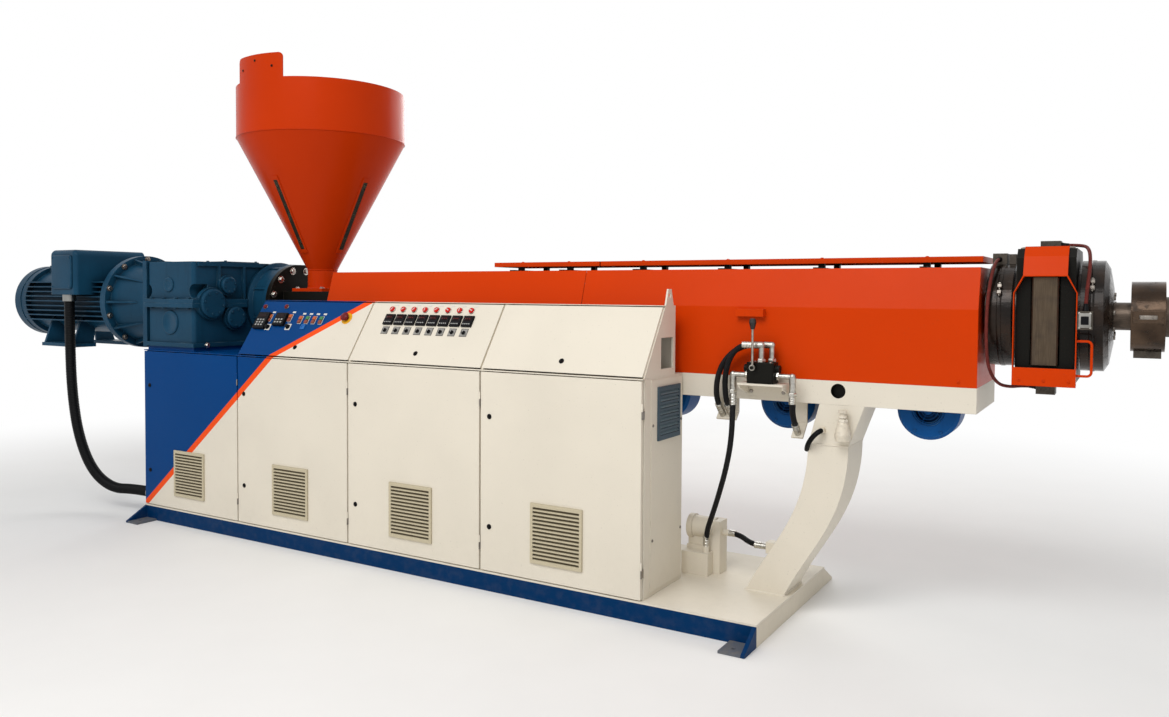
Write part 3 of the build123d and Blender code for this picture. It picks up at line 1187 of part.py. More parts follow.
def left_lead_points():
    """From the first box over the ring, down its front, up to the lower box."""
    x = BARREL_RIGHT + 42
    start = (x, AXIS_Y - 45, AXIS_Z + RING_R + 20)
    end = (CHANGER_X - 50, AXIS_Y - 20, AXIS_Z - CHANGER_RISE - 33)
    return [start, (x, AXIS_Y - 105, start[2]), (x - 8, AXIS_Y - 188, AXIS_Z + 213),
            (x - 16, AXIS_Y - 252, AXIS_Z + 120), (x - 20, AXIS_Y - 283, AXIS_Z),
            (x - 20, AXIS_Y - 282, AXIS_Z - 130), (x - 12, AXIS_Y - 262, AXIS_Z - 240),
            (x + 18, AXIS_Y - 190, AXIS_Z - 315), (x + 60, AXIS_Y - 88, AXIS_Z - 336),
            (x + 105, end[1], end[2]), end]


def right_lead_points():
    """From the upper box over the outlet ring to the switch on the guard."""
    x = CHANGER_RIGHT
    start = (CHANGER_X + 42, AXIS_Y - 20, AXIS_Z + CHANGER_RISE + 22)
    end = (x + 40, HOOD_FRONT + 18, AXIS_Z + 25)
    return [start, (x + 5, start[1], start[2]), (x + 40, AXIS_Y - 80, AXIS_Z + 305),
            (x + 50, AXIS_Y - 172, AXIS_Z + 240), (x + 46, AXIS_Y - 247, AXIS_Z + 152),
            (end[0], end[1], AXIS_Z + 75), end]


nodes = {
    "base_frame": base_frame(),
    "foot_plates": foot_plates(),
    "base_deck": base_deck(),
    "cabinet_walls": cabinet_walls(),
    "cabinet_back_wall": cabinet_back_wall(),
    "cabinet_top": cabinet_top(),
    "end_panel": end_panel(),
    "end_louvre": end_louvre(),
    "gearbox_pedestal": gearbox_pedestal(),
    "door_hinges": door_hinges(),
    "console_shell": console_shell(),
    "console_panels": console_panels(),
    "panel_instruments": panel_instruments(),
    "bearing_caps": bearing_caps(),
    "thrust_housing": thrust_housing(),
    "motor_lantern": motor_lantern(),
    "motor_frame": motor_frame(),
    "motor_fan_cowl": motor_fan_cowl(),
    "motor_terminal_box": motor_terminal_box(),
    "motor_conduit": tube(conduit_points(), CONDUIT_D),
    "feed_section": feed_section(),
    "hopper_drum": hopper_drum(),
    "hopper_cone": hopper_cone(),
    "hopper_neck": hopper_neck(),
    "sight_windows": sight_windows(),
    "barrel": barrel(),
    "support_beam": support_beam(),
    "cooling_blowers": cooling_blowers(),
    "guard_sides": guard_sides(),
    "guard_covers": guard_ends() + guard_roof(),
    "roof_spacers": roof_spacers(),
    "support_leg": support_leg(),
    "valve_body": valve_body(),
    "valve_lever": valve_lever(),
    "pipe_fittings": pipe_fittings(),
    "pump_unit": pump_unit(),
    "port_hose": tube(port_hose_points(), HOSE_D),
    "pressure_hose": tube(top_hose_points(0), HOSE_D),
    "return_hose": tube(top_hose_points(1), HOSE_D),
    "side_hose": tube(side_hose_points(), HOSE_D),
    "pump_hose": tube(pump_hose_points(), HOSE_D),
    "changer_body": changer_body(),
    "slide_plate": slide_plate(),
    "slide_cylinder": slide_cylinder(),
    "changer_guard": changer_guard(),
    "heater_rings": heater_rings(),
    "die_neck": die_neck(),
    "heater_boxes": heater_boxes(),
    "left_lead": tube(left_lead_points(), LEAD_D),
    "right_lead": tube(right_lead_points(), LEAD_D),
}
gearbox = gearbox_whole()
nodes["gearbox_lower"] = gearbox_half(gearbox, GEAR_BOTTOM, AXIS_Z)
nodes["gearbox_upper"] = gearbox_half(gearbox, AXIS_Z, GEAR_TOP)
for i in range(BAY_COUNT):
    nodes["door_" + str(i + 1)] = door(i)
    nodes["vent_grille_" + str(i + 1)] = vent_grille(i)

os.makedirs("parts", exist_ok=True)
for name, shape in nodes.items():
    solid = Compound(shape) if isinstance(shape, list) else shape
    export_step(solid, "parts/" + name + ".step")
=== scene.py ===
import logging
import math
from dataclasses import dataclass
from enum import Enum
from typing import Any, Sequence

import bmesh
import bpy
import numpy as np
from mathutils import Matrix


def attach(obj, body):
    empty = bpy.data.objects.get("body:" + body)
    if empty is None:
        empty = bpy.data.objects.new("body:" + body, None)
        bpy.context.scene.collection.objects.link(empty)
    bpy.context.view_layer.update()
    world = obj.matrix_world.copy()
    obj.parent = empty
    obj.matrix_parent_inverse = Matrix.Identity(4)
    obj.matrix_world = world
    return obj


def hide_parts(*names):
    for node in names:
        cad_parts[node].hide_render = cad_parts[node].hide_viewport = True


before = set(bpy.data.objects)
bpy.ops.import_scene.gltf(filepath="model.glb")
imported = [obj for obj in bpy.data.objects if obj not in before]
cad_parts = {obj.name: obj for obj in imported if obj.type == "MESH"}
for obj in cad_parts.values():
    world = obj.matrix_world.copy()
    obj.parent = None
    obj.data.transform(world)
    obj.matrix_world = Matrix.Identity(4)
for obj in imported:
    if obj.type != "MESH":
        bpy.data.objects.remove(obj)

LOG = logging.getLogger("extruder")
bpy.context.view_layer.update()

Array = np.ndarray
Colour = tuple[float, float, float, float]
Pair = tuple[float, float]
Point = tuple[float, float, float]
Shape = tuple[Array, Array]
Triple = Sequence[float]

# Lengths and places are in metres, in the machine's own frame
AXIS_Y, AXIS_Z = 0.23, 1.545
FRONT = -0.535
ORIGIN = (0, 0, 0)
DOWN, UP = (0, 0, -1), (0, 0, 1)
LEFTWARD, RIGHTWARD = (-1, 0, 0), (1, 0, 0)
FORWARD, REARWARD = (0, -1, 0), (0, 1, 0)
MERGE = 1e-6


class Body(Enum):
    """Bodies of the machine that a piece rides on."""

    MACHINE = "machine"
    DOOR_1 = "cabinet_door_1"
    DOOR_2 = "cabinet_door_2"
    DOOR_3 = "cabinet_door_3"
    DOOR_4 = "cabinet_door_4"


class Coat(Enum):
    """Material slot names that new pieces carry along; their material comes from their finish."""

    ORANGE = "orange_paint"
    CREAM = "cream_paint"
    PETROL = "petrol_paint"
    BLACK = "black_paint"
    BLOWER = "blower_paint"
    STEEL = "steel"
    BRIGHT = "bright_metal"
    RUBBER = "rubber"
    BEIGE = "beige_plastic"
    BRAID = "lead_braid"
    PLASTIC = "dark_plastic"


def rgb(code: str) -> Colour:
    """Linear colour of a paint code.

    Args:
        code: six hexadecimal figures of an sRGB colour.

    Returns:
        Red, green and blue as light, and full cover.
    """
    parts = [int(code[i:i + 2], 16) / 255 for i in (0, 2, 4)]
    red, green, blue = (c / 12.92 if c <= 0.04045 else ((c + 0.055) / 1.055) ** 2.4 for c in parts)
    return (red, green, blue, 1.0)


def shade(colour: Colour, amount: float) -> Colour:
    """The colour made darker by an amount below one, or lighter by one above."""
    red, green, blue = (min(1.0, c * amount) for c in colour[:3])
    return (red, green, blue, 1.0)


class Sock:
    """One output in a node tree, with arithmetic that adds Math nodes."""

    def __init__(self, graph: "Graph", socket: bpy.types.NodeSocket) -> None:
        """Keeps the socket and the graph that it belongs to."""
        self.graph = graph
        self.socket = socket

    def maths(self, operation: str, *terms: "Sock | float") -> "Sock":
        """One Math node over the terms."""
        return self.graph.node("ShaderNodeMath", {"operation": operation}, dict(enumerate(terms)))

    def __add__(self, other: "Sock | float") -> "Sock":
        """Sum."""
        return self.maths("ADD", self, other)

    def __radd__(self, other: float) -> "Sock":
        """Sum with a number in front."""
        return self.maths("ADD", other, self)

    def __sub__(self, other: "Sock | float") -> "Sock":
        """Difference."""
        return self.maths("SUBTRACT", self, other)

    def __rsub__(self, other: float) -> "Sock":
        """Difference from a number."""
        return self.maths("SUBTRACT", other, self)

    def __mul__(self, other: "Sock | float") -> "Sock":
        """Product."""
        return self.maths("MULTIPLY", self, other)

    def __rmul__(self, other: float) -> "Sock":
        """Product with a number in front."""
        return self.maths("MULTIPLY", other, self)

    def least(self, other: "Sock | float") -> "Sock":
        """The smaller of two values."""
        return self.maths("MINIMUM", self, other)

    def most(self, other: "Sock | float") -> "Sock":
        """The larger of two values."""
        return self.maths("MAXIMUM", self, other)

    def size(self) -> "Sock":
        """The value without its sign."""
        return self.maths("ABSOLUTE", self)

    def root(self) -> "Sock":
        """Square root of the value."""
        return self.maths("SQRT", self)

    def sine(self) -> "Sock":
        """Sine of the value in radians."""
        return self.maths("SINE", self)

    def rise(self, low: float, high: float) -> "Sock":
        """Smooth step from 0 at low to 1 at high."""
        return self.graph.node("ShaderNodeMapRange", {"interpolation_type": "SMOOTHSTEP"},
                               {"Value": self, "From Min": low, "From Max": high})

    def within(self, middle: float, half: float, soft: float = 0.0008) -> "Sock":
        """1 inside a band of the value about its middle, 0 outside."""
        return 1 - (self - middle).size().rise(half - soft, half + soft)


class Graph:
    """The nodes of one material or world, which end in one shader."""

    def __init__(self, owner: bpy.types.Material | bpy.types.World, shader: str = "ShaderNodeBsdfPrincipled",
                 output: str = "ShaderNodeOutputMaterial") -> None:
        """Empties the owner's tree and gives it a shader and an output.

        Args:
            owner: material or world whose tree this is.
            shader: type of the shader node.
            output: type of the output node.
        """
        owner.use_nodes = True
        self.tree = owner.node_tree
        self.tree.nodes.clear()
        self.shader = self.tree.nodes.new(shader)
        self.end = self.tree.nodes.new(output)
        self.tree.links.new(self.shader.outputs[0], self.end.inputs[0])

    def feed(self, socket: bpy.types.NodeSocket, value: Any) -> None:
        """Links a Sock to an input, or sets the input to a plain value.

        Args:
            socket: input of a node.
            value: a Sock, a number, a vector or a colour.
        """
        if isinstance(value, Sock):
            self.tree.links.new(value.socket, socket)
        else:
            socket.default_value = value

    def node(self, kind: str, settings: dict[str, Any], sockets: dict[Any, Any], result: Any = 0) -> Sock:
        """Adds one node.

        Args:
            kind: the node's type.
            settings: properties that are set before the sockets.
            sockets: values or links of its inputs, by name or number.
            result: name or number of the output that is handed back.

        Returns:
            The chosen output.
        """
        made = self.tree.nodes.new(kind)
        for name, value in settings.items():
            setattr(made, name, value)
        for key, value in sockets.items():
            self.feed(made.inputs[key], value)
        return Sock(self, made.outputs[result])

    def place(self) -> Sock:
        """Object coordinates, which are the machine's own frame in metres."""
        return self.node("ShaderNodeTexCoord", {}, {}, "Object")

    def axes(self, vector: Sock | None = None) -> tuple[Sock, Sock, Sock]:
        """The three parts of a vector.

        Args:
            vector: the vector, or none for the place on the machine.

        Returns:
            X, Y and Z.
        """
        split = self.node("ShaderNodeSeparateXYZ", {}, {0: vector or self.place()})
        x, y, z = (Sock(self, output) for output in split.socket.node.outputs)
        return x, y, z

    def stretched(self, amount: Triple) -> Sock:
        """Place on the machine, scaled along each axis."""
        return self.node("ShaderNodeVectorMath", {"operation": "MULTIPLY"}, {0: self.place(), 1: amount})

    def noise(self, scale: float, detail: float = 2.0, at: Sock | None = None) -> Sock:
        """Cloudy value about one half."""
        return self.node("ShaderNodeTexNoise", {},
                         {"Vector": at or self.place(), "Scale": scale, "Detail": detail})

    def cells(self, scale: float) -> Sock:
        """Distance to the nearest of many scattered points."""
        return self.node("ShaderNodeTexVoronoi", {}, {"Vector": self.place(), "Scale": scale})

    def mix(self, factor: Sock, low: Any, high: Any) -> Sock:
        """Colour between two colours."""
        return self.node("ShaderNodeMix", {"data_type": "RGBA"}, {0: factor, 6: low, 7: high}, 2)

    def mottled(self, factor: Sock, code: str, light: float, dark: float) -> Sock:
        """One paint code between a lighter and a darker shade of it."""
        return self.mix(factor, shade(rgb(code), light), shade(rgb(code), dark))

    def rounded(self, radius: float) -> Sock:
        """Normal with the edges of the solid rounded off."""
        return self.node("ShaderNodeBevel", {"samples": 4}, {"Radius": radius})

    def edge(self, soft: Sock) -> Sock:
        """How near an edge lies.

        Args:
            soft: rounded normal.

        Returns:
            1 where the rounded normal leaves the flat one, 0 where they agree.
        """
        flat = self.node("ShaderNodeNewGeometry", {}, {}, "Normal")
        match = self.node("ShaderNodeVectorMath", {"operation": "DOT_PRODUCT"}, {0: soft, 1: flat}, "Value")
        return (1 - match).rise(0.02, 0.22)

    def occlusion_shade(self, reach: float) -> Sock:
        """Painted shade from ambient occlusion: 1 deep in corners and pockets, 0 in the open."""
        light = self.node("ShaderNodeAmbientOcclusion", {"samples": 4}, {"Distance": reach}, "AO")
        return 1 - light.rise(0.35, 0.95)

    def bump(self, height: Sock, depth: float, under: Sock | None = None) -> Sock:
        """Normal of a height field.

        Args:
            height: the field.
            depth: metres that a height of one stands out.
            under: normal that the field lies on, or none for the mesh's own.

        Returns:
            The bent normal.
        """
        sockets = {"Height": height, "Distance": depth, "Strength": 1.0}
        if under is not None:
            sockets["Normal"] = under
        return self.node("ShaderNodeBump", {}, sockets)

    def seen(self) -> Sock:
        """1 for rays from the eye, off gloss and through glass, 0 for light on the object."""
        rays = self.node("ShaderNodeLightPath", {}, {}).socket.node.outputs
        kinds = ("Camera", "Glossy", "Transmission")
        eye, gloss, glass = (Sock(self, rays[f"Is {kind} Ray"]) for kind in kinds)
        return eye.most(gloss).most(glass)

    def finish(self, **sockets: Any) -> None:
        """Feeds the shader, with underscores for the spaces in its socket names."""
        for name, value in sockets.items():
            self.feed(self.shader.inputs[name.replace("_", " ")], value)


class Finish:
    """A surface finish, whose material is made once and then shared."""

    name: str
    made: dict[str, bpy.types.Material] = {}

    def build(self, g: Graph) -> None:
        """Fills the graph; each finish has its own."""
        raise NotImplementedError

    def material(self) -> bpy.types.Material:
        """The finish's material."""
        if self.name not in Finish.made:
            Finish.made[self.name] = bpy.data.materials.new(self.name)
            self.build(Graph(Finish.made[self.name]))
        return Finish.made[self.name]


@dataclass(frozen=True)
class Paint(Finish):
    """Sprayed enamel on sheet steel: cloudy tone, orange peel, dust low down and rubbed edges."""

    name: str
    colour: str
    rough: float = 0.30
    wear: float = 0.5
    dust: float = 0.04
    sheen: float = 0.05
    worn: str = "6E665C"
    peel: float = 0.00025
    corner: float = 0.003

    def tone(self, g: Graph, code: str) -> Sock:
        """One paint colour with its slow changes of tone."""
        return g.mottled(g.noise(1.6, 3).rise(0.3, 0.7), code, 1.02, 0.965)

    def ground(self, g: Graph) -> Sock:
        """Colour before dust and wear."""
        return self.tone(g, self.colour)

    def build(self, g: Graph) -> None:
        """Layers tone, specks, dust and rubbed edges, with roughness to match.

        Args:
            g: the material's nodes.
        """
        soft = g.rounded(self.corner)
        grain = g.noise(23, 5)
        height = g.axes()[2]
        settled = (1 - height.rise(0.0, 0.55)) * grain.rise(0.40, 0.75) * self.dust
        rubbed = g.edge(soft) * g.noise(9, 5).rise(0.48, 0.62) * self.wear
        specks = g.noise(120, 2).rise(0.70, 0.74) * 0.18
        colour = g.mix(specks, self.ground(g), rgb("51483E"))
        colour = g.mix(settled, colour, rgb("8C7F6C"))
        colour = g.mix(rubbed, colour, rgb(self.worn))
        rough = self.rough + grain * 0.10 + settled * 0.4 + rubbed * 0.2
        g.finish(Base_Color=colour, Roughness=rough, Specular_IOR_Level=self.sheen,
                 Normal=g.bump(g.noise(300, 2), self.peel, soft))


@dataclass(frozen=True)
class Livery(Paint):
    """Cabinet paint: outside blue to the left of a bent stripe and cream to its right, inside cream.

    Each straight run of the stripe has its lean, its start and the cosine of its slant.
    """

    blue: str = "003E7A"
    stripe: str = "F2521C"
    half_stripe: float = 0.0195
    lower_run: Point = (1.1897, 2.4239, 0.643)
    upper_run: Point = (1.810, 3.1775, 0.52)
    seam: float = -1.3
    left: float = -2.3
    console_foot: float = 1.200

    def outside(self, x: Sock, y: Sock, z: Sock) -> Sock:
        """Where the cabinet's outer paint lies.

        Args:
            x: place along the machine.
            y: place towards the rear.
            z: height over the floor.

        Returns:
            1 on the door skins, in the door seams and on the console, 0 inside and at the back.
        """
        seams = x.within(self.seam, 0.0075).most(1 - x.rise(self.left + 0.0075, self.left + 0.0085))
        skin = 1 - y.rise(FRONT + 0.0010, FRONT + 0.0014)
        near = 1 - y.rise(FRONT + 0.030, FRONT + 0.031)
        return skin.most(seams * near).most(z.rise(self.console_foot, self.console_foot + 0.001))

    def ground(self, g: Graph) -> Sock:
        """Side of the stripe from the distance to its two straight runs; the left end is blue.

        Args:
            g: the material's nodes.

        Returns:
            The colour.
        """
        x, y, z = g.axes()
        runs = (self.lower_run, self.upper_run)
        lower, upper = ((x - z * lean + start) * slant for lean, start, slant in runs)
        offset = lower.least(upper)
        outside = self.outside(x, y, z)
        end = 1 - x.rise(self.left + 0.0005, self.left + 0.0015)
        blue = (outside * (1 - offset.rise(-0.0006, 0.0006))).most(end)
        field = g.mix(blue, self.tone(g, self.colour), self.tone(g, self.blue))
        return g.mix(outside * offset.within(0.0, self.half_stripe), field, self.tone(g, self.stripe))


@dataclass(frozen=True)
class SillPaint(Paint):
    """Base frame paint: blue sills and left end, cream right end."""

    end: str = "DDD4C2"
    end_x: float = 2.28

    def ground(self, g: Graph) -> Sock:
        """Cream on the right end plate between the sills.

        Args:
            g: the material's nodes.

        Returns:
            The colour.
        """
        x, y, _ = g.axes()
        plate = x.rise(self.end_x - 0.0005, self.end_x + 0.0005) * (y - FRONT).rise(0.0005, 0.0015)
        return g.mix(plate, self.tone(g, self.colour), self.tone(g, self.end))


@dataclass(frozen=True)
class SightPaint(Paint):
    """Sight strips on the hopper: painted frame round a dark window with pellets behind it."""

    half: float = 0.019
    hopper_x: float = -1.32
    window_z: Pair = (2.1645, 0.232)

    def ground(self, g: Graph) -> Sock:
        """Window where the place lies in either strip, speckled by the pellets.

        Args:
            g: the material's nodes.

        Returns:
            The colour.
        """
        x, y, z = g.axes()
        strip = (x.within(self.hopper_x, self.half) + y.within(AXIS_Y, self.half)).least(1.0)
        window = strip * z.within(*self.window_z)
        pellets = g.mix(g.cells(150).rise(0.15, 0.55), rgb("6F6A52"), rgb("1E1A14"))
        smeared = g.mix(g.noise(14, 4).rise(0.35, 0.65), pellets, rgb("2C2A22"))
        return g.mix(window, self.tone(g, self.colour), smeared)


@dataclass(frozen=True)
class CastPaint(Finish):
    """Machine enamel on iron castings: sandy skin, painted shade in its pockets, bare rubbed edges."""

    name: str
    colour: str
    rough: float = 0.30
    grit: float = 0.0008
    sheen: float = 0.10
    worn: str = "5E7F90"

    def skin(self, g: Graph) -> Sock:
        """Colour of the whole casting before its edges are rubbed, the same all over.

        Args:
            g: the material's nodes.

        Returns:
            The colour.
        """
        cloud = g.noise(3.1, 4)
        runs = g.noise(3, 3, g.stretched((7, 7, 0.9))).rise(0.56, 0.72) * 0.25
        tone = g.mottled(cloud.rise(0.3, 0.7), self.colour, 1.12, 0.86)
        return g.mix(runs, tone, shade(rgb(self.colour), 0.55))

    def openings(self, g: Graph, colour: Sock) -> Sock:
        """Colour with painted shade laid over any openings; a plain casting has none."""
        return colour

    def build(self, g: Graph) -> None:
        """Casting grain under the paint, painted shade that darkens the pockets, pale rubbed edges.

        Args:
            g: the material's nodes.
        """
        soft = g.rounded(0.006)
        sand = g.noise(150, 4)
        rubbed = g.edge(soft) * g.noise(11, 4).rise(0.45, 0.62) * 0.55
        # painted shade: ambient occlusion darkens corners and pockets to a dark shade of the enamel and
        # roughens them
        dark = g.occlusion_shade(0.07) * 0.65
        colour = g.mix(dark, self.skin(g), shade(rgb(self.colour), 0.22))
        colour = g.mix(rubbed, colour, rgb(self.worn))
        g.finish(Base_Color=self.openings(g, colour), Roughness=self.rough + sand * 0.14 + dark * 0.2,
                 Specular_IOR_Level=self.sheen, Normal=g.bump(sand + g.noise(3.1, 4) * 2, self.grit, soft))


@dataclass(frozen=True)
class CowlPaint(CastPaint):
    """Fan cowl: the same enamel with its air slots in rings painted near-black on its end, as painted shade
    for the openings.
    """

    axis_y: float = -0.185
    end_x: float = -4.160

    def openings(self, g: Graph, colour: Sock) -> Sock:
        """Ring slots by distance from the motor axis, parted by spokes.

        Args:
            g: the material's nodes.
            colour: colour of the enamel.

        Returns:
            The enamel with the slots painted near-black as shade.
        """
        x, y, z = g.axes()
        across, rise = y - self.axis_y, z - AXIS_Z
        radius = (across * across + rise * rise).root()
        rings = (radius * 251.0).sine().rise(-0.1, 0.15) * radius.within(0.125, 0.075)
        spokes = across.size().least(rise.size()).rise(0.006, 0.009)
        slots = rings * spokes * (1 - x.rise(self.end_x - 0.005, self.end_x + 0.005))
        # painted shade: the slots are painted near-black for the dark inside seen through them
        return g.mix(slots, colour, rgb("060708"))


@dataclass(frozen=True)
class Metal(Finish):
    """Bare metal with fine tool marks along one axis and duller patches."""

    name: str
    colour: str
    rough: float = 0.28
    marks: Triple = (1, 60, 60)
    stain: str = "4A423A"
    stained: float = 0.35

    def build(self, g: Graph) -> None:
        """Stretched noise for tool marks, cloudy stains and rounded edges.

        Args:
            g: the material's nodes.
        """
        lines = g.noise(9, 3, g.stretched(self.marks))
        patch = g.noise(17, 5).rise(0.45, 0.72) * self.stained
        colour = g.mix(patch, g.mottled(lines.rise(0.3, 0.7), self.colour, 1.1, 0.82), rgb(self.stain))
        g.finish(Base_Color=colour, Metallic=1 - patch * 0.5,
                 Roughness=self.rough + lines * 0.12 + patch * 0.25,
                 Normal=g.bump(lines, 0.0002, g.rounded(0.002)))


@dataclass(frozen=True)
class HeaterSkin(Finish):
    """Polished heater jackets gone dark with heat, streaked and finger-marked; browner on the die."""

    name: str
    colour: str
    glow: str
    band: str = "382D25"
    band_glow: str = "5C4B3D"
    band_start: float = 3.72
    rough: float = 0.14

    def build(self, g: Graph) -> None:
        """Blued and browned patches over a dark polished sheet.

        Args:
            g: the material's nodes.
        """
        heat = g.noise(5, 4)
        streak = g.noise(6, 4, g.stretched((1.2, 9, 9)))
        smear = g.noise(28, 5).rise(0.52, 0.74)
        die = g.axes()[0].rise(self.band_start, self.band_start + 0.01)
        colour = g.mix(heat.rise(0.38, 0.66), g.mix(die, rgb(self.colour), rgb(self.band)),
                       g.mix(die, rgb(self.glow), rgb(self.band_glow)))
        colour = g.mix(smear * 0.5, colour, rgb("191512"))
        g.finish(Base_Color=colour, Metallic=0.45 + die * 0.4 - smear * 0.3,
                 Roughness=self.rough + streak * 0.10 + smear * 0.25, Specular_IOR_Level=0.3,
                 Normal=g.bump(streak + heat, 0.0012, g.rounded(0.004)))


@dataclass(frozen=True)
class Hose(Finish):
    """Rubber hose or braided sleeve: crossed threads that follow its own length and girth."""

    name: str
    colour: str
    thread: str
    turns: float
    rows: float
    rough: float = 0.5
    depth: float = 0.0006

    def build(self, g: Graph) -> None:
        """Two sets of slanted threads from the hose's own map, with scuffed patches.

        Args:
            g: the material's nodes.
        """
        u, v, _ = g.axes(g.node("ShaderNodeTexCoord", {}, {}, "UV"))
        along, around = u * self.rows, v * (self.turns * math.tau)
        weave = ((along + around).sine() * (along - around).sine()).size()
        scuff = g.noise(40, 4).rise(0.5, 0.75)
        colour = g.mix(weave.rise(0.1, 0.8), rgb(self.colour), rgb(self.thread))
        colour = g.mix(scuff * 0.35, colour, shade(rgb(self.thread), 1.5))
        g.finish(Base_Color=colour, Roughness=self.rough + scuff * 0.2, Specular_IOR_Level=0.15,
                 Normal=g.bump(weave, self.depth))


@dataclass(frozen=True)
class Plastic(Finish):
    """Moulded plastic: fine spark grain, faint handling marks, soft edges."""

    name: str
    colour: str
    rough: float = 0.42
    grain: float = 0.0002
    corner_shade: float = 0.35

    def build(self, g: Graph) -> None:
        """Even colour broken by grain, with painted shade in the corners.

        Args:
            g: the material's nodes.
        """
        speckle = g.noise(700, 2)
        marks = g.noise(30, 5).rise(0.48, 0.75)
        colour = g.mottled(speckle.rise(0.3, 0.7), self.colour, 1.08, 0.90)
        # painted shade: ambient occlusion darkens the corners towards a dark brown
        colour = g.mix(g.occlusion_shade(0.012) * self.corner_shade, colour, rgb("2B2620"))
        g.finish(Base_Color=colour, Roughness=self.rough + marks * 0.16, Specular_IOR_Level=0.10,
                 Normal=g.bump(speckle, self.grain, g.rounded(0.0012)))


@dataclass(frozen=True)
class Zone:
    """One stuff within a zoned material: colour, bareness of metal, roughness and its two shades."""

    colour: str
    metal: float
    rough: float
    light: float
    dark: float


@dataclass(frozen=True)
class Zoned(Finish):
    """Small piece of two stuffs that meet at one height, such as a rod with its knob."""

    name: str
    below: Zone
    above: Zone
    height: float

    def build(self, g: Graph) -> None:
        """Picks the stuff by height, then adds marks and stains to both.

        Args:
            g: the material's nodes.
        """
        top = g.axes()[2].rise(self.height - 0.0004, self.height + 0.0004)
        marks = g.noise(70, 4)
        worn = marks.rise(0.3, 0.7)
        low, high = (g.mottled(worn, zone.colour, zone.light, zone.dark) for zone in (self.below, self.above))
        metal = top * (self.above.metal - self.below.metal) + self.below.metal
        rough = top * (self.above.rough - self.below.rough) + self.below.rough + marks * 0.12
        g.finish(Base_Color=g.mix(top, low, high), Metallic=metal, Roughness=rough,
                 Normal=g.bump(marks, 0.0002, g.rounded(0.0015)))


@dataclass(frozen=True)
class FittingMix(Finish):
    """Pipe fittings: plated steel on the hoses, cream enamel on the leg, dull glands on the conduit."""

    name: str
    plate: str = "B9B6AE"
    cream: str = "DDD3C0"
    gland: str = "8E8E8B"
    leg_x: float = 2.42
    leg_z: float = 0.85
    conduit_x: float = -2.0

    def build(self, g: Graph) -> None:
        """Picks the stuff by the place along the machine.

        Args:
            g: the material's nodes.
        """
        x, _, z = g.axes()
        leg = x.rise(self.leg_x, self.leg_x + 0.01) * z.rise(self.leg_z, self.leg_z + 0.01)
        far = 1 - x.rise(self.conduit_x - 0.01, self.conduit_x)
        marks = g.noise(60, 4)
        colour = g.mottled(marks.rise(0.3, 0.7), self.plate, 1.08, 0.7)
        colour = g.mix(leg, colour, g.mottled(marks.rise(0.35, 0.75), self.cream, 1.0, 0.82))
        colour = g.mix(far, colour, rgb(self.gland))
        g.finish(Base_Color=colour, Metallic=(1 - leg) * 0.95, Roughness=0.24 + marks * 0.16 + leg * 0.08,
                 Normal=g.bump(marks, 0.0003, g.rounded(0.002)))


CREAM = Paint("cream_enamel", "E2DACA", rough=0.30, worn="8B8374")
LIVERY = Livery("cabinet_livery", "E2DACA", rough=0.26, worn="8B8374", wear=0.35)
BLUE = Paint("stand_blue", "003E7A", rough=0.26, wear=0.35)
SILL = SillPaint("base_enamel", "00305C", rough=0.34, dust=0.05, wear=0.25)
FOOT = Paint("foot_enamel", "5F646D", rough=0.42, dust=0.3, wear=0.6)
ORANGE = Paint("guard_orange", "CE3C06", rough=0.26, worn="8E4A2C", wear=0.4, dust=0.0)
HOPPER_ORANGE = Paint("hopper_orange", "BF3507", rough=0.20, worn="8E4A2C", wear=0.35, dust=0.0)
SIGHT = SightPaint("sight_strips", "BF3507", rough=0.16, wear=0.2, dust=0.0)
PETROL = CastPaint("petrol_casting", "143F58")
COWL = CowlPaint("fan_cowl", "143F58", grit=0.0003)
BLOWER = CastPaint("blower_blue", "0A4C8A", rough=0.30, worn="6FA3C9")
BLACK = CastPaint("black_casting", "14130F", rough=0.30, worn="4F463C")
STEEL = Metal("machined_steel", "8F8880", stained=0.5)
SLIDE = Metal("slide_steel", "574B3E", rough=0.42, marks=(50, 50, 2), stain="3F342A", stained=0.55)
BRIGHT = Metal("plated_steel", "C9C6BE", rough=0.18, stained=0.2)
RING = HeaterSkin("heater_rings", "17120F", "33261D")
NECK = Metal("neck_steel", "5C5148", rough=0.32, marks=(4, 50, 50), stain="2A211A", stained=0.7)
BOX = Metal("box_sheet", "514B44", rough=0.40, marks=(20, 20, 20), stain="2E2822", stained=0.6)
GREY_PLATE = Metal("grey_sheet", "96948F", rough=0.38, marks=(3, 40, 3), stained=0.25)
LOUVRE = Paint("louvre_grey", "4A5963", rough=0.36, wear=0.3, dust=0.0)
SLAT = Paint("slat_grey", "74868F", rough=0.36, wear=0.3, dust=0.0)
BEIGE = Plastic("grille_beige", "C4B99E", rough=0.5)
MAT = Plastic("filter_mat", "6E6552", rough=0.8, grain=0.002)
INK = Plastic("black_plastic", "0E0E11", rough=0.34)
KEY_GREY = Plastic("key_grey", "A9A9A6", rough=0.45)
TAG = Plastic("bare_tag", "D8D6CF", rough=0.4)
LAMP_RED = Plastic("lamp_red", "C7231B", rough=0.22)
LAMP_DARK = Plastic("lamp_dark_red", "6E1F22", rough=0.22)
LAMP_ORANGE = Plastic("pilot_orange", "C4643A", rough=0.25)
LAMP_GREEN = Plastic("pilot_green", "4A8458", rough=0.25)
LAMP_BROWN = Plastic("pilot_brown", "8A4A3C", rough=0.25)
STOP_YELLOW = Plastic("stop_yellow", "E7A61C", rough=0.35)
DISPLAY = Plastic("display_window", "1C0B0C", rough=0.12)
SEGMENT = Plastic("display_dash", "A3302B", rough=0.3)
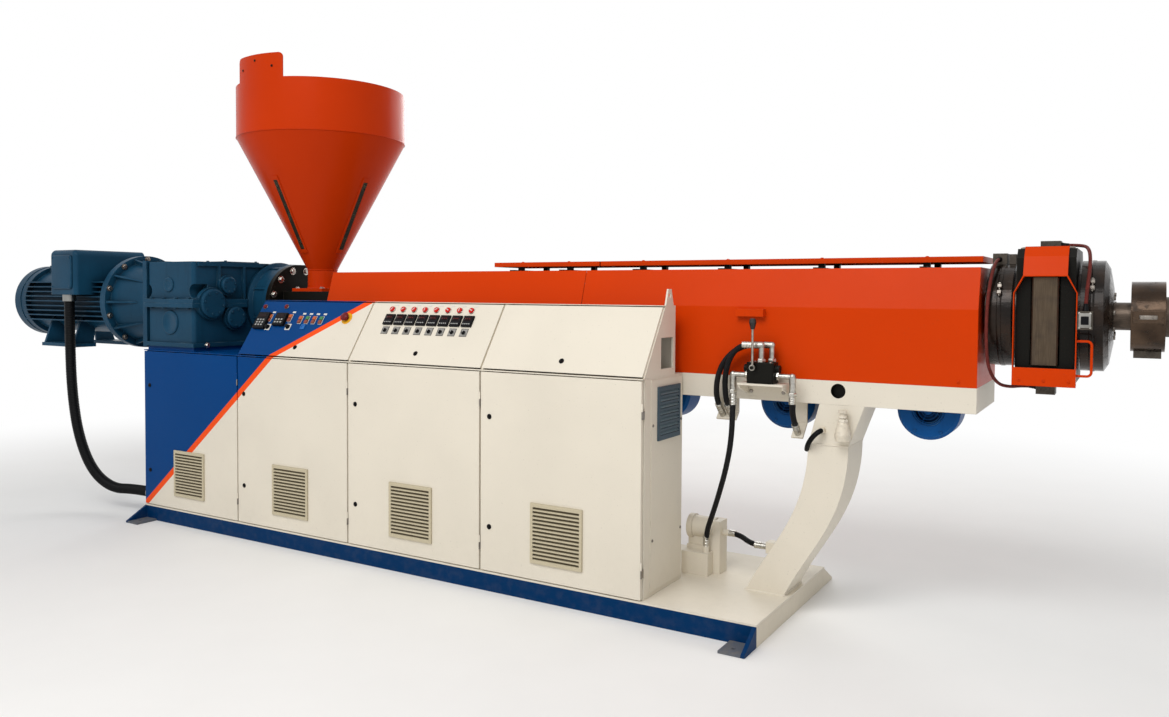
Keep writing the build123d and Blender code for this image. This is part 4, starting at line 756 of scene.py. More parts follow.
SOCKET_BLUE = Plastic("socket_blue", "2E6DB4", rough=0.35)
ROD, KNOB = Zone("A9A49A", 1.0, 0.25, 1.1, 0.75), Zone("141312", 0.0, 0.38, 1.2, 0.8)
LEVER = Zoned("lever_rod_and_knob", ROD, KNOB, 1.4605)
FITTINGS = FittingMix("pipe_fittings")
HOSE_RUBBER = Hose("hose_rubber", "0B0B0C", "202022", 7, 900)
CONDUIT_RUBBER = Plastic("conduit_rubber", "0C0D0F", rough=0.42, corner_shade=0.2)
BRAID = Hose("red_brown_braid", "4E1D1A", "8A3B33", 6, 700, 0.6, 0.0009)


def unit(vector: Triple) -> Array:
    """The vector at length one."""
    given = np.asarray(vector, dtype=float)
    return given / np.linalg.norm(given)


def facing(normal: Triple, up: Triple = UP) -> Array:
    """Frame that looks along a normal.

    Args:
        normal: direction of the third axis.
        up: direction that the second axis leans to; rearward where the normal itself runs along it.

    Returns:
        Matrix whose columns are across, up and the normal, right-handed.
    """
    out = unit(normal)
    guide = np.asarray(up, dtype=float)
    if abs(float(out @ unit(guide))) > 0.95:
        guide = np.asarray(REARWARD, dtype=float)
    across = unit(np.cross(guide, out))
    return np.stack([across, np.cross(out, across), out], axis=1)


def grid_quads(rows: int, columns: int) -> Array:
    """Quads of a grid whose last column joins its first.

    Args:
        rows: points along the grid.
        columns: points round it.

    Returns:
        Four point numbers for each quad.
    """
    row = np.arange(rows - 1)[:, None] * columns
    here = np.arange(columns)[None, :]
    after = (here + 1) % columns
    quads = np.stack([row + here, row + after, row + columns + after, row + columns + here], axis=-1)
    return quads.reshape(-1, 4)


def turned(profile: Sequence[Pair], sides: int = 24) -> Shape:
    """Turned solid: each profile point, a radius and a height, is carried round the axis.

    Args:
        profile: radius and height from the bottom centre, up the outside, to the top centre.
        sides: steps round the axis; six gives a hexagon.

    Returns:
        Points radius times cosine, radius times sine, height, and their quads.
    """
    radius, height = np.asarray(profile, dtype=float).T
    angle = np.arange(sides) * (math.tau / sides)
    points = np.stack([radius[:, None] * np.cos(angle), radius[:, None] * np.sin(angle),
                       np.broadcast_to(height[:, None], (len(radius), sides))], axis=-1)
    return points.reshape(-1, 3), grid_quads(len(radius), sides)


def slab(half_u: float, half_v: float, radius: float, rings: Sequence[Pair], per: int = 4) -> Shape:
    """Rounded rectangle carried up through rings of inset and height, closed at both ends.

    Args:
        half_u: half width.
        half_v: half height of the outline.
        radius: radius of its corners.
        rings: inset and height of each level, bottom first.
        per: points on each corner.

    Returns:
        Corner centre plus radius times the turning direction at each level, and the quads.
    """
    angle = np.repeat(np.arange(4) * (math.pi / 2), per) + np.tile(np.linspace(0, math.pi / 2, per), 4)
    corner_u = np.repeat(np.array([1, -1, -1, 1]), per) * (half_u - radius)
    corner_v = np.repeat(np.array([1, 1, -1, -1]), per) * (half_v - radius)
    inset, height = np.asarray(rings, dtype=float).T
    inset, height = inset[:, None], np.broadcast_to(height[:, None], (len(height), 4 * per))
    squeeze = np.clip(1 - np.maximum(inset - radius, 0) / max(min(half_u, half_v) - radius, MERGE), 0, 1)
    bend = np.maximum(radius - inset, 0)
    level = np.stack([corner_u * squeeze + bend * np.cos(angle),
                      corner_v * squeeze + bend * np.sin(angle), height], axis=-1)
    ends = level[[0, -1]] * np.array([0, 0, 1])
    points = np.concatenate([ends[:1], level, ends[1:]])
    return points.reshape(-1, 3), grid_quads(len(points), 4 * per)


def swept(path: Array, radius: Any, sides: int = 12) -> Shape:
    """Round tube: a circle carried along a path, square to it, closed at both ends.

    Args:
        path: points of the centre line.
        radius: one radius, or one for each point.
        sides: steps round the tube.

    Returns:
        Path point plus radius times cosine and sine of the two crosswise directions, and the quads.
    """
    ahead = np.gradient(path, axis=0)
    ahead /= np.linalg.norm(ahead, axis=1, keepdims=True)
    steady = np.linalg.svd(ahead, full_matrices=True)[2][-1]
    side = steady - (ahead @ steady)[:, None] * ahead
    side /= np.linalg.norm(side, axis=1, keepdims=True)
    out = np.cross(side, ahead)
    angle = np.arange(sides) * (math.tau / sides)
    reach = np.broadcast_to(np.asarray(radius, dtype=float), (len(path),))[:, None, None]
    ring = out[:, None] * np.cos(angle)[:, None] + side[:, None] * np.sin(angle)[:, None]
    first, last = (np.broadcast_to(path[end], (1, sides, 3)) for end in (0, -1))
    points = np.concatenate([first, path[:, None] + reach * ring, last])
    return points.reshape(-1, 3), grid_quads(len(points), sides)


def hoop(radius: float, wire: float, sides: int = 36, around: int = 6) -> Shape:
    """Ring of round wire: a small circle carried round the axis at the given radius."""
    angle = np.linspace(0, math.tau, around + 1)
    return turned(list(zip(radius + wire * np.cos(angle), wire * np.sin(angle))), sides)


def ring_places(centre: Triple, normal: Triple, radius: float, count: int, start: float = 0.0) -> Array:
    """Points evenly round a circle.

    Args:
        centre: middle of the circle.
        normal: direction that the circle faces.
        radius: its radius.
        count: number of points.
        start: angle of the first point from the circle's up.

    Returns:
        Centre plus radius times sine across and cosine up, one point a row.
    """
    across, up, _ = facing(normal).T
    angle = math.radians(start) + np.arange(count) * (math.tau / count)
    return np.asarray(centre) + radius * (np.sin(angle)[:, None] * across + np.cos(angle)[:, None] * up)


def grid_places(xs: Sequence[float], ys: Sequence[float], zs: Sequence[float]) -> Array:
    """Every place on a rectangular lattice."""
    return np.stack(np.meshgrid(xs, ys, zs, indexing="ij"), axis=-1).reshape(-1, 3)


def hex_bolt(size: float) -> Shape:
    """Hexagon head with a chamfered crown: six flats carried up through three heights."""
    return turned([(0, 0), (size, 0), (size, size * 0.55), (size * 0.84, size * 0.68), (0, size * 0.68)], 6)


def washer(size: float) -> Shape:
    """Flat ring under a bolt head of the given size."""
    return turned([(0, 0), (size * 1.42, 0), (size * 1.42, size * 0.12), (0, size * 0.14)], 14)


def pan_screw(size: float) -> Shape:
    """Low domed head with a sunk middle, turned."""
    return turned([(0, 0), (size, 0), (size * 0.96, size * 0.3), (size * 0.7, size * 0.52),
                   (size * 0.36, size * 0.58), (size * 0.3, size * 0.3), (0, size * 0.28)], 12)


def quarter_lock(rim: float) -> Shape:
    """Body of a quarter-turn lock: a turned rim with a sunk ring round its barrel."""
    return turned([(0, 0), (rim, 0), (rim, 0.002), (rim - 0.0025, 0.0045), (0.0105, 0.0045), (0.0095, 0.001),
                   (0.0085, 0.001), (0.008, 0.0055), (0, 0.006)], 28)


def lock_wing() -> Shape:
    """Raised wing across a lock's barrel: a narrow rounded slab."""
    return slab(0.0018, 0.007, 0.0008, [(0.0006, 0.005), (0, 0.006), (0, 0.0085), (0.0008, 0.0095)], 3)


def chamfered(half_u: float, half_v: float, radius: float, edge: float, thick: float, per: int = 4) -> Shape:
    """Rounded plate of one thickness with the same chamfer round its foot and its crown."""
    return slab(half_u, half_v, radius, [(edge, 0), (0, edge), (0, thick - edge), (edge, thick)], per)


def welded_mesh(name: str, points: Array, quads: Array) -> bpy.types.Mesh:
    """Mesh with its poles and seams closed.

    Args:
        name: name of the mesh.
        points: one point a row.
        quads: four point numbers a row.

    Returns:
        The mesh, points that coincide merged.
    """
    mesh = bpy.data.meshes.new(name)
    mesh.from_pydata(points.tolist(), [], quads.tolist())
    work = bmesh.new()
    work.from_mesh(mesh)
    bmesh.ops.remove_doubles(work, verts=work.verts, dist=MERGE)
    work.to_mesh(mesh)
    work.free()
    return mesh


def linked(name: str, data: Any) -> bpy.types.Object:
    """New object in the scene.

    Args:
        name: its name.
        data: its mesh, curve, lamp or camera data.

    Returns:
        The object.
    """
    made = bpy.data.objects.new(name, data)
    bpy.context.scene.collection.objects.link(made)
    return made


class Piece:
    """One named piece of the dressed machine, gathered from closed surfaces."""

    def __init__(self, name: str, coat: Coat, finish: Finish, body: Body = Body.MACHINE) -> None:
        """Starts an empty piece.

        Args:
            name: name of the piece.
            coat: its material slot; kept on the piece but not used.
            finish: its finish.
            body: the body that it rides on.
        """
        self.name, self.coat, self.finish, self.body = name, coat, finish, body
        self.points: list[Array] = []
        self.quads: list[Array] = []
        self.count = 0

    def add(self, shape: Shape, places: Any = ORIGIN, normal: Triple = UP, up: Triple = UP) -> "Piece":
        """Sets copies of a shape at places, its axis along the normal.

        Args:
            shape: points and quads about the origin.
            places: one place, or one a row.
            normal: direction that the shape's axis takes.
            up: direction that the shape's second axis leans to.

        Returns:
            The piece itself.
        """
        points, quads = shape
        spots = np.atleast_2d(np.asarray(places, dtype=float))
        posed = (points @ facing(normal, up).T)[None] + spots[:, None]
        steps = np.arange(len(spots))[:, None, None] * len(points) + self.count
        self.points.append(posed.reshape(-1, 3))
        self.quads.append((quads[None] + steps).reshape(-1, 4))
        self.count += posed.shape[0] * posed.shape[1]
        return self

    def bolts(self, size: float, places: Any, normal: Triple, lift: float) -> "Piece":
        """Sets hexagon bolts on washers, the heads lifted from the face by the given height."""
        self.add(washer(size), places, normal)
        return self.add(hex_bolt(size), np.asarray(places) + np.asarray(normal) * lift, normal)

    def make(self, sharp: float = 38.0) -> bpy.types.Object:
        """Puts the surfaces into one mesh and sets it on its body.

        Args:
            sharp: edges that turn by more than this many degrees stay crisp.

        Returns:
            The new object.
        """
        mesh = welded_mesh(self.name, np.concatenate(self.points), np.concatenate(self.quads))
        mesh.polygons.foreach_set("use_smooth", np.ones(len(mesh.polygons), dtype=bool))
        mesh.set_sharp_from_angle(angle=math.radians(sharp))
        mesh.materials.append(self.finish.material())
        made = linked(self.name, mesh)
        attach(made, self.body.value)
        LOG.info("%s: %d faces on %s", self.name, len(mesh.polygons), self.body.value)
        return made


def coat_nodes(finish: Finish, *names: str) -> None:
    """Gives CAD nodes their finish and leaves their shape alone.

    Args:
        finish: the finish.
        names: the nodes.
    """
    for name in names:
        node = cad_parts[name]
        if not node.material_slots:
            node.data.materials.append(finish.material())
        for slot in node.material_slots:
            slot.material = finish.material()
        LOG.info("%s: %s", name, finish.name)


@dataclass
class Base:
    """Base frame, deck and the curved leg with its collar, weld and fittings."""

    knee: Point = (2.485, 0.065, 0.890)
    knee_half: Pair = (0.1035, 0.1385)
    foot_x: Pair = (2.066, 2.272)
    foot_y: Pair = (-0.072, 0.202)
    weld_z: float = 0.108
    bead: float = 0.006
    bead_steps: int = 90
    hole: Point = (2.531, -0.070, 1.1634)
    filler: Point = (2.567, -0.110, 1.018)
    filler_cap: Point = (2.567, -0.110, 1.039)
    elbow_radius: float = 0.0125
    elbow_guides: tuple[Point, ...] = (
        (2.458, -0.098, 0.967), (2.450, -0.136, 0.964), (2.400, -0.128, 0.920), (2.377, -0.062, 0.862))

    def dress(self) -> None:
        """Paints the base and adds the leg's collar, foot weld, a black cup in the beam's hole as painted
        shade, filler collar and elbow.
        """
        coat_nodes(SILL, "base_frame")
        coat_nodes(FOOT, "foot_plates")
        coat_nodes(CREAM, "base_deck", "support_leg")
        collar = chamfered(*self.knee_half, 0.006, 0.003, 0.010)
        Piece("leg_collar", Coat.CREAM, CREAM).add(collar, self.knee).make()
        self.add_weld()
        # painted shade: a black cup closes the beam's hole and stands in for the shade inside the hollow beam
        cup = turned([(0, -0.030), (0.0355, -0.030), (0.0355, -0.001), (0.0345, -0.001), (0.0335, -0.028),
                      (0, -0.028)], 36)
        Piece("beam_hole_shade_cup", Coat.BLACK, BLACK).add(cup, self.hole, FORWARD).make()
        nut = turned([(0.012, 0), (0.023, 0), (0.025, 0.003), (0.025, 0.013), (0.023, 0.016), (0.012, 0.016),
                      (0.012, 0)], 6)
        cap = turned([(0.010, 0), (0.0195, 0), (0.0195, 0.007), (0.017, 0.010), (0.010, 0.010),
                      (0.010, 0)], 28)
        Piece("filler_collar", Coat.CREAM, CREAM).add(nut, self.filler).add(cap, self.filler_cap).make()
        elbow = swept(self.elbow_line(), self.elbow_radius, 14)
        Piece("gland_elbow", Coat.RUBBER, CONDUIT_RUBBER).add(elbow).make(60)

    def elbow_line(self) -> Array:
        """Centre line of the rubber elbow on the leg's gland: a cubic blend of four guide points."""
        share = np.linspace(0, 1, 24)[:, None]
        rest = 1 - share
        start, lead, tail, stop = (np.array(guide) for guide in self.elbow_guides)
        return (rest ** 3 * start + 3 * rest ** 2 * share * lead + 3 * rest * share ** 2 * tail
                + share ** 3 * stop)

    def add_weld(self) -> None:
        """Rippled bead along each side of the leg's foot: a tube whose radius swells at each drop."""
        (x0, x1), (y0, y1) = self.foot_x, self.foot_y
        corners = np.array([(x0, y0, self.weld_z), (x1, y0, self.weld_z), (x1, y1, self.weld_z),
                            (x0, y1, self.weld_z)])
        share = np.linspace(0, 1, self.bead_steps)[:, None]
        swell = self.bead * (1 + 0.14 * np.sin(np.arange(self.bead_steps) * 1.9))
        weld = Piece("leg_foot_weld", Coat.CREAM, CREAM)
        for start, stop in zip(corners, np.roll(corners, -1, axis=0)):
            weld.add(swept(start + (stop - start) * share, swell, 8))
        weld.make(80)


@dataclass
class Cabinet:
    """Doors, grilles, walls and end panel of the control cabinet."""

    left: float = -2.3
    bay: float = 1.0
    bays: int = 4
    lock_in: float = 0.064
    lock_heights: Pair = (0.960, 0.356)
    lock_rim: float = 0.0145
    grille_z: float = 0.363
    mat_half: float = 0.1425
    mat_back: float = 0.0055
    panel_x: float = 1.703
    panel_screws_y: Pair = (-0.425, -0.095)
    panel_screws_z: Pair = (0.388, 0.970)
    louvre_x: float = 1.7065
    window_y: Pair = (-0.361, -0.142)
    window_z: Pair = (0.905, 1.143)
    slats: int = 7
    slat_half: float = 0.0085
    slat_gap: float = 0.0005
    slat_lean: Point = (0.75, 0, 0.66)

    def dress(self) -> None:
        """Paints the cabinet, then adds locks, mats, screws and louvre slats."""
        numbers = range(1, self.bays + 1)
        coat_nodes(LIVERY, "cabinet_walls", "cabinet_top", "console_shell", "console_panels",
                   "cabinet_back_wall", *(f"door_{number}" for number in numbers))
        coat_nodes(BLUE, "gearbox_pedestal")
        coat_nodes(CREAM, "end_panel")
        coat_nodes(LOUVRE, "end_louvre")
        coat_nodes(BEIGE, *(f"vent_grille_{number}" for number in numbers))
        coat_nodes(STEEL, "door_hinges")
        for number in numbers:
            self.dress_door(number)
        screws = grid_places([self.panel_x], self.panel_screws_y, self.panel_screws_z)
        Piece("end_panel_screws", Coat.STEEL, STEEL).add(pan_screw(0.008), screws, RIGHTWARD).make()
        self.add_slats()

    def dress_door(self, number: int) -> None:
        """Two quarter-turn locks on a door, and the filter mat that fills its grille's cut-out.

        Args:
            number: the door, counted from the left end.
        """
        body = Body[f"DOOR_{number}"]
        start = self.left + self.bay * (number - 1)
        places = grid_places([start + self.lock_in], [FRONT], self.lock_heights)
        locks = Piece(f"door_locks_{number}", Coat.PLASTIC, INK, body)
        locks.add(quarter_lock(self.lock_rim), places, FORWARD)
        locks.add(lock_wing(), places, FORWARD, (1, 0, 1)).make()
        mat = slab(self.mat_half, self.mat_half, 0.004, [(0.002, 0), (0, 0.002), (0, 0.004), (0.001, 0.005)])
        middle = (start + self.bay / 2, FRONT + self.mat_back, self.grille_z)
        Piece(f"filter_mat_{number}", Coat.BEIGE, MAT, body).add(mat, middle, FORWARD).make()

    def add_slats(self) -> None:
        """Leaning louvre blades: one thin rounded slat set in each slot of the frame."""
        low, high = self.window_z
        heights = low + (high - low) / self.slats * (np.arange(self.slats) + 0.5)
        half = (self.window_y[1] - self.window_y[0]) / 2 - self.slat_gap
        places = grid_places([self.louvre_x], [sum(self.window_y) / 2], heights)
        Piece("louvre_slats", Coat.STEEL, SLAT) \
            .add(chamfered(half, self.slat_half, 0.0008, 0.0004, 0.0016, 3), places, self.slat_lean).make()


@dataclass
class Console:
    """Instruments on the three sloping panels, placed by X and by distance up the slope.

    The turns of the lamps' marks are in radians.
    """

    along: Pair = (0.5444, 0.8388)
    foot: float = 1.213
    first: float = -0.110
    pitch: float = 0.0857
    count: int = 8
    controller_level: float = 0.2996
    controller_top: float = 0.010
    bezel_top: float = 0.0126
    window_up: float = 0.013
    keys_down: float = 0.020
    switch_level: float = 0.2268
    switch_top: float = 0.003
    lamp_level: float = 0.372
    lamp_ends: Pair = (-0.119, 0.487)
    lamp_turns: tuple[float, ...] = (0.9, 0.5, 0.9, 1.6, 0.6, 2.6, 1.5, 2.8)
    keypad_x: Pair = (-1.215, -1.045)
    keypad_levels: Pair = (0.261, 0.274)
    keypad_window: float = 0.295
    keypad_top: float = 0.020
    keypad_rise: float = 0.003
    key_step: float = 0.026
    key_levels: tuple[tuple[float, ...], ...] = ((0.224, 0.243, 0.262), (0.248, 0.268))
    end_lamps: tuple[Pair, ...] = ((-1.260, 0.374), (-1.057, 0.377))
    lone_pilots: tuple[Pair, ...] = ((-1.162, 0.297), (-0.973, 0.301))
    pilot_row: Pair = (-0.872, -0.684)
    pilot_level: float = 0.291
    dials: tuple[Pair, ...] = ((-1.142, 0.219), (-0.954, 0.225))
    socket: Pair = (-0.818, 0.229)
    stop: Pair = (-0.467, 0.300)
    locks: tuple[float, ...] = (-0.8, 0.2, 1.2)
    lock_level: float = 0.078
    lock_rim: float = 0.015

    def spots(self, pairs: Sequence[Pair], rise: float = 0.0) -> Array:
        """Places on the slope.

        Args:
            pairs: X and distance up from the slope's lower edge, for each place.
            rise: height over the slope's face.

        Returns:
            One place a row: the front edge, moved up along the slope and out from it.
        """
        x, up = np.asarray(pairs, dtype=float).T
        lean, climb = self.along
        return np.stack([x, FRONT + up * lean - rise * climb, self.foot + up * climb + rise * lean], axis=1)

    def row(self, xs: Sequence[float], up: float, rise: float = 0.0) -> Array:
        """Places along one level of the slope."""
        return self.spots([(x, up) for x in xs], rise)

    @property
    def out(self) -> Triple:
        """Direction that the slope faces."""
        return (0, -self.along[1], self.along[0])

    @property
    def columns(self) -> Array:
        """X of the eight controllers."""
        return self.first + self.pitch * np.arange(self.count)

    def put(self, name: str, coat: Coat, finish: Finish, *layers: tuple[Shape, Array]) -> None:
        """Makes one piece on the slope.

        Args:
            name: name of the piece.
            coat: its slot.
            finish: its finish.
            layers: shapes, each with its places.
        """
        piece = Piece(name, coat, finish)
        for shape, places in layers:
            piece.add(shape, places, self.out)
        piece.make()

    def dress(self) -> None:
        """Dresses the three bays one after another."""
        coat_nodes(INK, "panel_instruments")
        self.add_controllers()
        self.add_switches()
        self.add_lamps()
        self.add_keypads()
        self.add_pilots()
        self.add_dials()
        self.add_stop()
        places = self.row(self.locks, self.lock_level)
        lock = quarter_lock(self.lock_rim)
        self.put("panel_locks", Coat.PLASTIC, INK, (lock, places), (lock_wing(), places))

    def add_controllers(self) -> None:
        """Faces of the eight temperature controllers: bezel, window, dashes and keys."""
        level, top = self.controller_level, self.bezel_top
        bezel = slab(0.0345, 0.0345, 0.004, [(0.002, 0), (0, 0.0012), (0.0012, 0.0026), (0.004, 0.0026)])
        window = slab(0.0275, 0.0125, 0.0015, [(0.001, 0), (0, 0.0008), (0.0008, 0.0014)], 3)
        dash = slab(0.0042, 0.0011, 0.0005, [(0.0003, 0), (0, 0.0002), (0.0003, 0.0005)], 2)
        key = slab(0.0046, 0.0034, 0.001, [(0.0005, 0), (0, 0.0006), (0.0008, 0.0016)], 3)
        dashes = [self.row(self.columns + shift, level + self.window_up, top + 0.0014)
                  for shift in (-0.014, 0.0, 0.014)]
        keys = [self.row(self.columns + shift, level - self.keys_down, top)
                for shift in (-0.021, -0.007, 0.007, 0.021)]
        faces = self.row(self.columns, level, self.controller_top)
        self.put("controller_bezels", Coat.PLASTIC, INK, (bezel, faces))
        windows = self.row(self.columns, level + self.window_up, top)
        self.put("controller_windows", Coat.PLASTIC, DISPLAY, (window, windows))
        self.put("controller_dashes", Coat.PLASTIC, SEGMENT, (dash, np.concatenate(dashes)))
        self.put("controller_keys", Coat.STEEL, KEY_GREY, (key, np.concatenate(keys)))

    def add_switches(self) -> None:
        """Grey plates below the controllers, each with a black turning knob and a pointer."""
        level, top = self.switch_level, self.switch_top
        plate = slab(0.0245, 0.0245, 0.002, [(0.001, 0), (0, 0.0006), (0.0006, 0.0012)], 3)
        knob = turned([(0, 0), (0.0125, 0), (0.0125, 0.003), (0.0098, 0.004), (0.0090, 0.012),
                       (0.0078, 0.0135), (0, 0.0135)], 20)
        pointer = slab(0.0013, 0.0075, 0.0005, [(0.0004, 0), (0, 0.0003), (0.0004, 0.0008)], 2)
        self.put("switch_plates", Coat.STEEL, GREY_PLATE, (plate, self.row(self.columns, level, top)))
        knobs = self.row(self.columns, level - 0.002, top + 0.0012)
        self.put("switch_knobs", Coat.PLASTIC, INK, (knob, knobs))
        pointers = self.row(self.columns, level + 0.001, top + 0.0147)
        self.put("switch_pointers", Coat.STEEL, TAG, (pointer, pointers))

    def add_lamps(self) -> None:
        """Red selector caps over the controllers, each with a pale mark and a bare tag."""
        xs = np.linspace(*self.lamp_ends, self.count)
        rim = turned([(0, 0), (0.0205, 0), (0.0205, 0.002), (0.0185, 0.005), (0.0165, 0.005), (0, 0.003)], 28)
        cap = turned([(0, 0.002), (0.0172, 0.002), (0.0172, 0.010), (0.0155, 0.0135), (0.010, 0.0148),
                      (0, 0.0150)], 28)
        mark = slab(0.0026, 0.0115, 0.001, [(0.0006, 0), (0, 0.0004), (0.0008, 0.0012)], 3)
        tag = slab(0.0125, 0.0045, 0.001, [(0.0005, 0), (0, 0.0004), (0.0004, 0.0010)], 3)
        places = self.row(xs, self.lamp_level)
        self.put("lamp_rims", Coat.BRIGHT, BRIGHT, (rim, places))
        self.put("lamp_caps", Coat.PLASTIC, LAMP_RED, (cap, places))
        marks = Piece("lamp_marks", Coat.STEEL, TAG)
        lean, climb = self.along
        for place, turn in zip(self.row(xs, self.lamp_level, 0.0149), self.lamp_turns):
            marks.add(mark, place, self.out, (math.cos(turn), math.sin(turn) * lean, math.sin(turn) * climb))
        marks.make()
        self.put("lamp_tags", Coat.STEEL, TAG, (tag, self.row(xs + 0.020, self.lamp_level + 0.032)))

    def add_keypads(self) -> None:
        """Two keypads on the blue end, each with a window and keys, and a lamp over each."""
        rings = [(0.003, 0), (0, 0.0015), (0.0015, self.keypad_rise), (0.004, self.keypad_rise)]
        tall, low = slab(0.0505, 0.0575, 0.006, rings), slab(0.0475, 0.0440, 0.006, rings)
        pads = self.spots(list(zip(self.keypad_x, self.keypad_levels)), self.keypad_top)
        self.put("keypad_faces", Coat.PLASTIC, INK, (tall, pads[0]), (low, pads[1]))
        face = self.keypad_top + self.keypad_rise
        window = slab(0.034, 0.013, 0.002, [(0.001, 0), (0, 0.0008), (0.0008, 0.0016)], 3)
        windows = self.row(self.keypad_x, self.keypad_window, face)
        self.put("keypad_windows", Coat.PLASTIC, DISPLAY, (window, windows))
        key = slab(0.0075, 0.0055, 0.0015, [(0.0005, 0), (0, 0.0008), (0.001, 0.0022)], 3)
        keys = [(x + shift, up) for x, levels in zip(self.keypad_x, self.key_levels)
                for shift in (-self.key_step, 0, self.key_step) for up in levels]
        self.put("keypad_keys", Coat.STEEL, KEY_GREY, (key, self.spots(keys, face)))
        rim = turned([(0, 0), (0.018, 0), (0.018, 0.002), (0.0165, 0.0045), (0.015, 0.0045), (0, 0.003)], 24)
        dome = turned([(0, 0.002), (0.0152, 0.002), (0.0152, 0.007), (0.0125, 0.0120), (0.007, 0.0145),
                       (0, 0.0152)], 24)
        self.put("end_lamp_rims", Coat.BRIGHT, STEEL, (rim, self.spots(self.end_lamps)))
        self.put("end_lamp_caps", Coat.PLASTIC, LAMP_DARK, (dome, self.spots(self.end_lamps)))

    def add_pilots(self) -> None:
        """Pairs of small lit buttons in pale frames: orange or green above, brown below, bare tag on top."""
        row = [(x, self.pilot_level) for x in np.linspace(*self.pilot_row, 4)]
        pilots = np.array([*self.lone_pilots, *row])
        button = slab(0.0135, 0.0125, 0.003, [(0.001, 0), (0, 0.001), (0, 0.007), (0.002, 0.010)])
        border = slab(0.0165, 0.0300, 0.003, [(0.0005, 0), (0, 0.0005), (0.0008, 0.0015)], 3)
        tag = slab(0.0145, 0.0065, 0.001, [(0.0005, 0), (0, 0.0004), (0.0004, 0.0010)], 3)
        upper, lower = self.spots(pilots + (0, 0.003)), self.spots(pilots - (0, 0.024))
        self.put("pilot_frames", Coat.STEEL, TAG, (border, self.spots(pilots - (0, 0.010))))
        self.put("pilot_upper_caps", Coat.PLASTIC, LAMP_ORANGE, (button, upper[[0, 1, 2, 4]]))
        self.put("pilot_green_caps", Coat.PLASTIC, LAMP_GREEN, (button, upper[[3, 5]]))
        self.put("pilot_lower_caps", Coat.PLASTIC, LAMP_BROWN, (button, lower))
        self.put("pilot_tags", Coat.STEEL, TAG, (tag, self.spots(pilots + (0.012, 0.036))))

    def add_dials(self) -> None:
        """Two knobs on pale plates and a blue socket at the foot of the blue end."""
        knob = turned([(0, 0), (0.0165, 0), (0.0165, 0.003), (0.0135, 0.004), (0.0125, 0.018), (0.011, 0.020),
                       (0, 0.020)], 24)
        plate = slab(0.0235, 0.0235, 0.002, [(0.001, 0), (0, 0.0008), (0.0008, 0.0016)], 3)
        self.put("dial_plates", Coat.STEEL, TAG, (plate, self.spots(self.dials)))
        self.put("dial_knobs", Coat.PLASTIC, INK, (knob, self.spots(self.dials, 0.0016)))
        port = slab(0.018, 0.018, 0.004, [(0.001, 0), (0, 0.001), (0, 0.005), (0.002, 0.007), (0.006, 0.007),
                                          (0.007, 0.003)])
        self.put("data_socket", Coat.BLOWER, SOCKET_BLUE, (port, self.spots([self.socket])))

    def add_stop(self) -> None:
        """Stop button: turned mushroom head on a yellow disc."""
        place = self.spots([self.stop])
        disc = turned([(0, 0), (0.040, 0), (0.040, 0.002), (0.038, 0.0035), (0, 0.0035)], 40)
        head = turned([(0, 0.003), (0.016, 0.003), (0.016, 0.018), (0.026, 0.020), (0.0285, 0.024),
                       (0.0275, 0.031), (0.021, 0.0365), (0.010, 0.0390), (0, 0.0395)], 36)
        self.put("stop_disc", Coat.ORANGE, STOP_YELLOW, (disc, place))
        self.put("stop_button", Coat.PLASTIC, LAMP_DARK, (head, place))


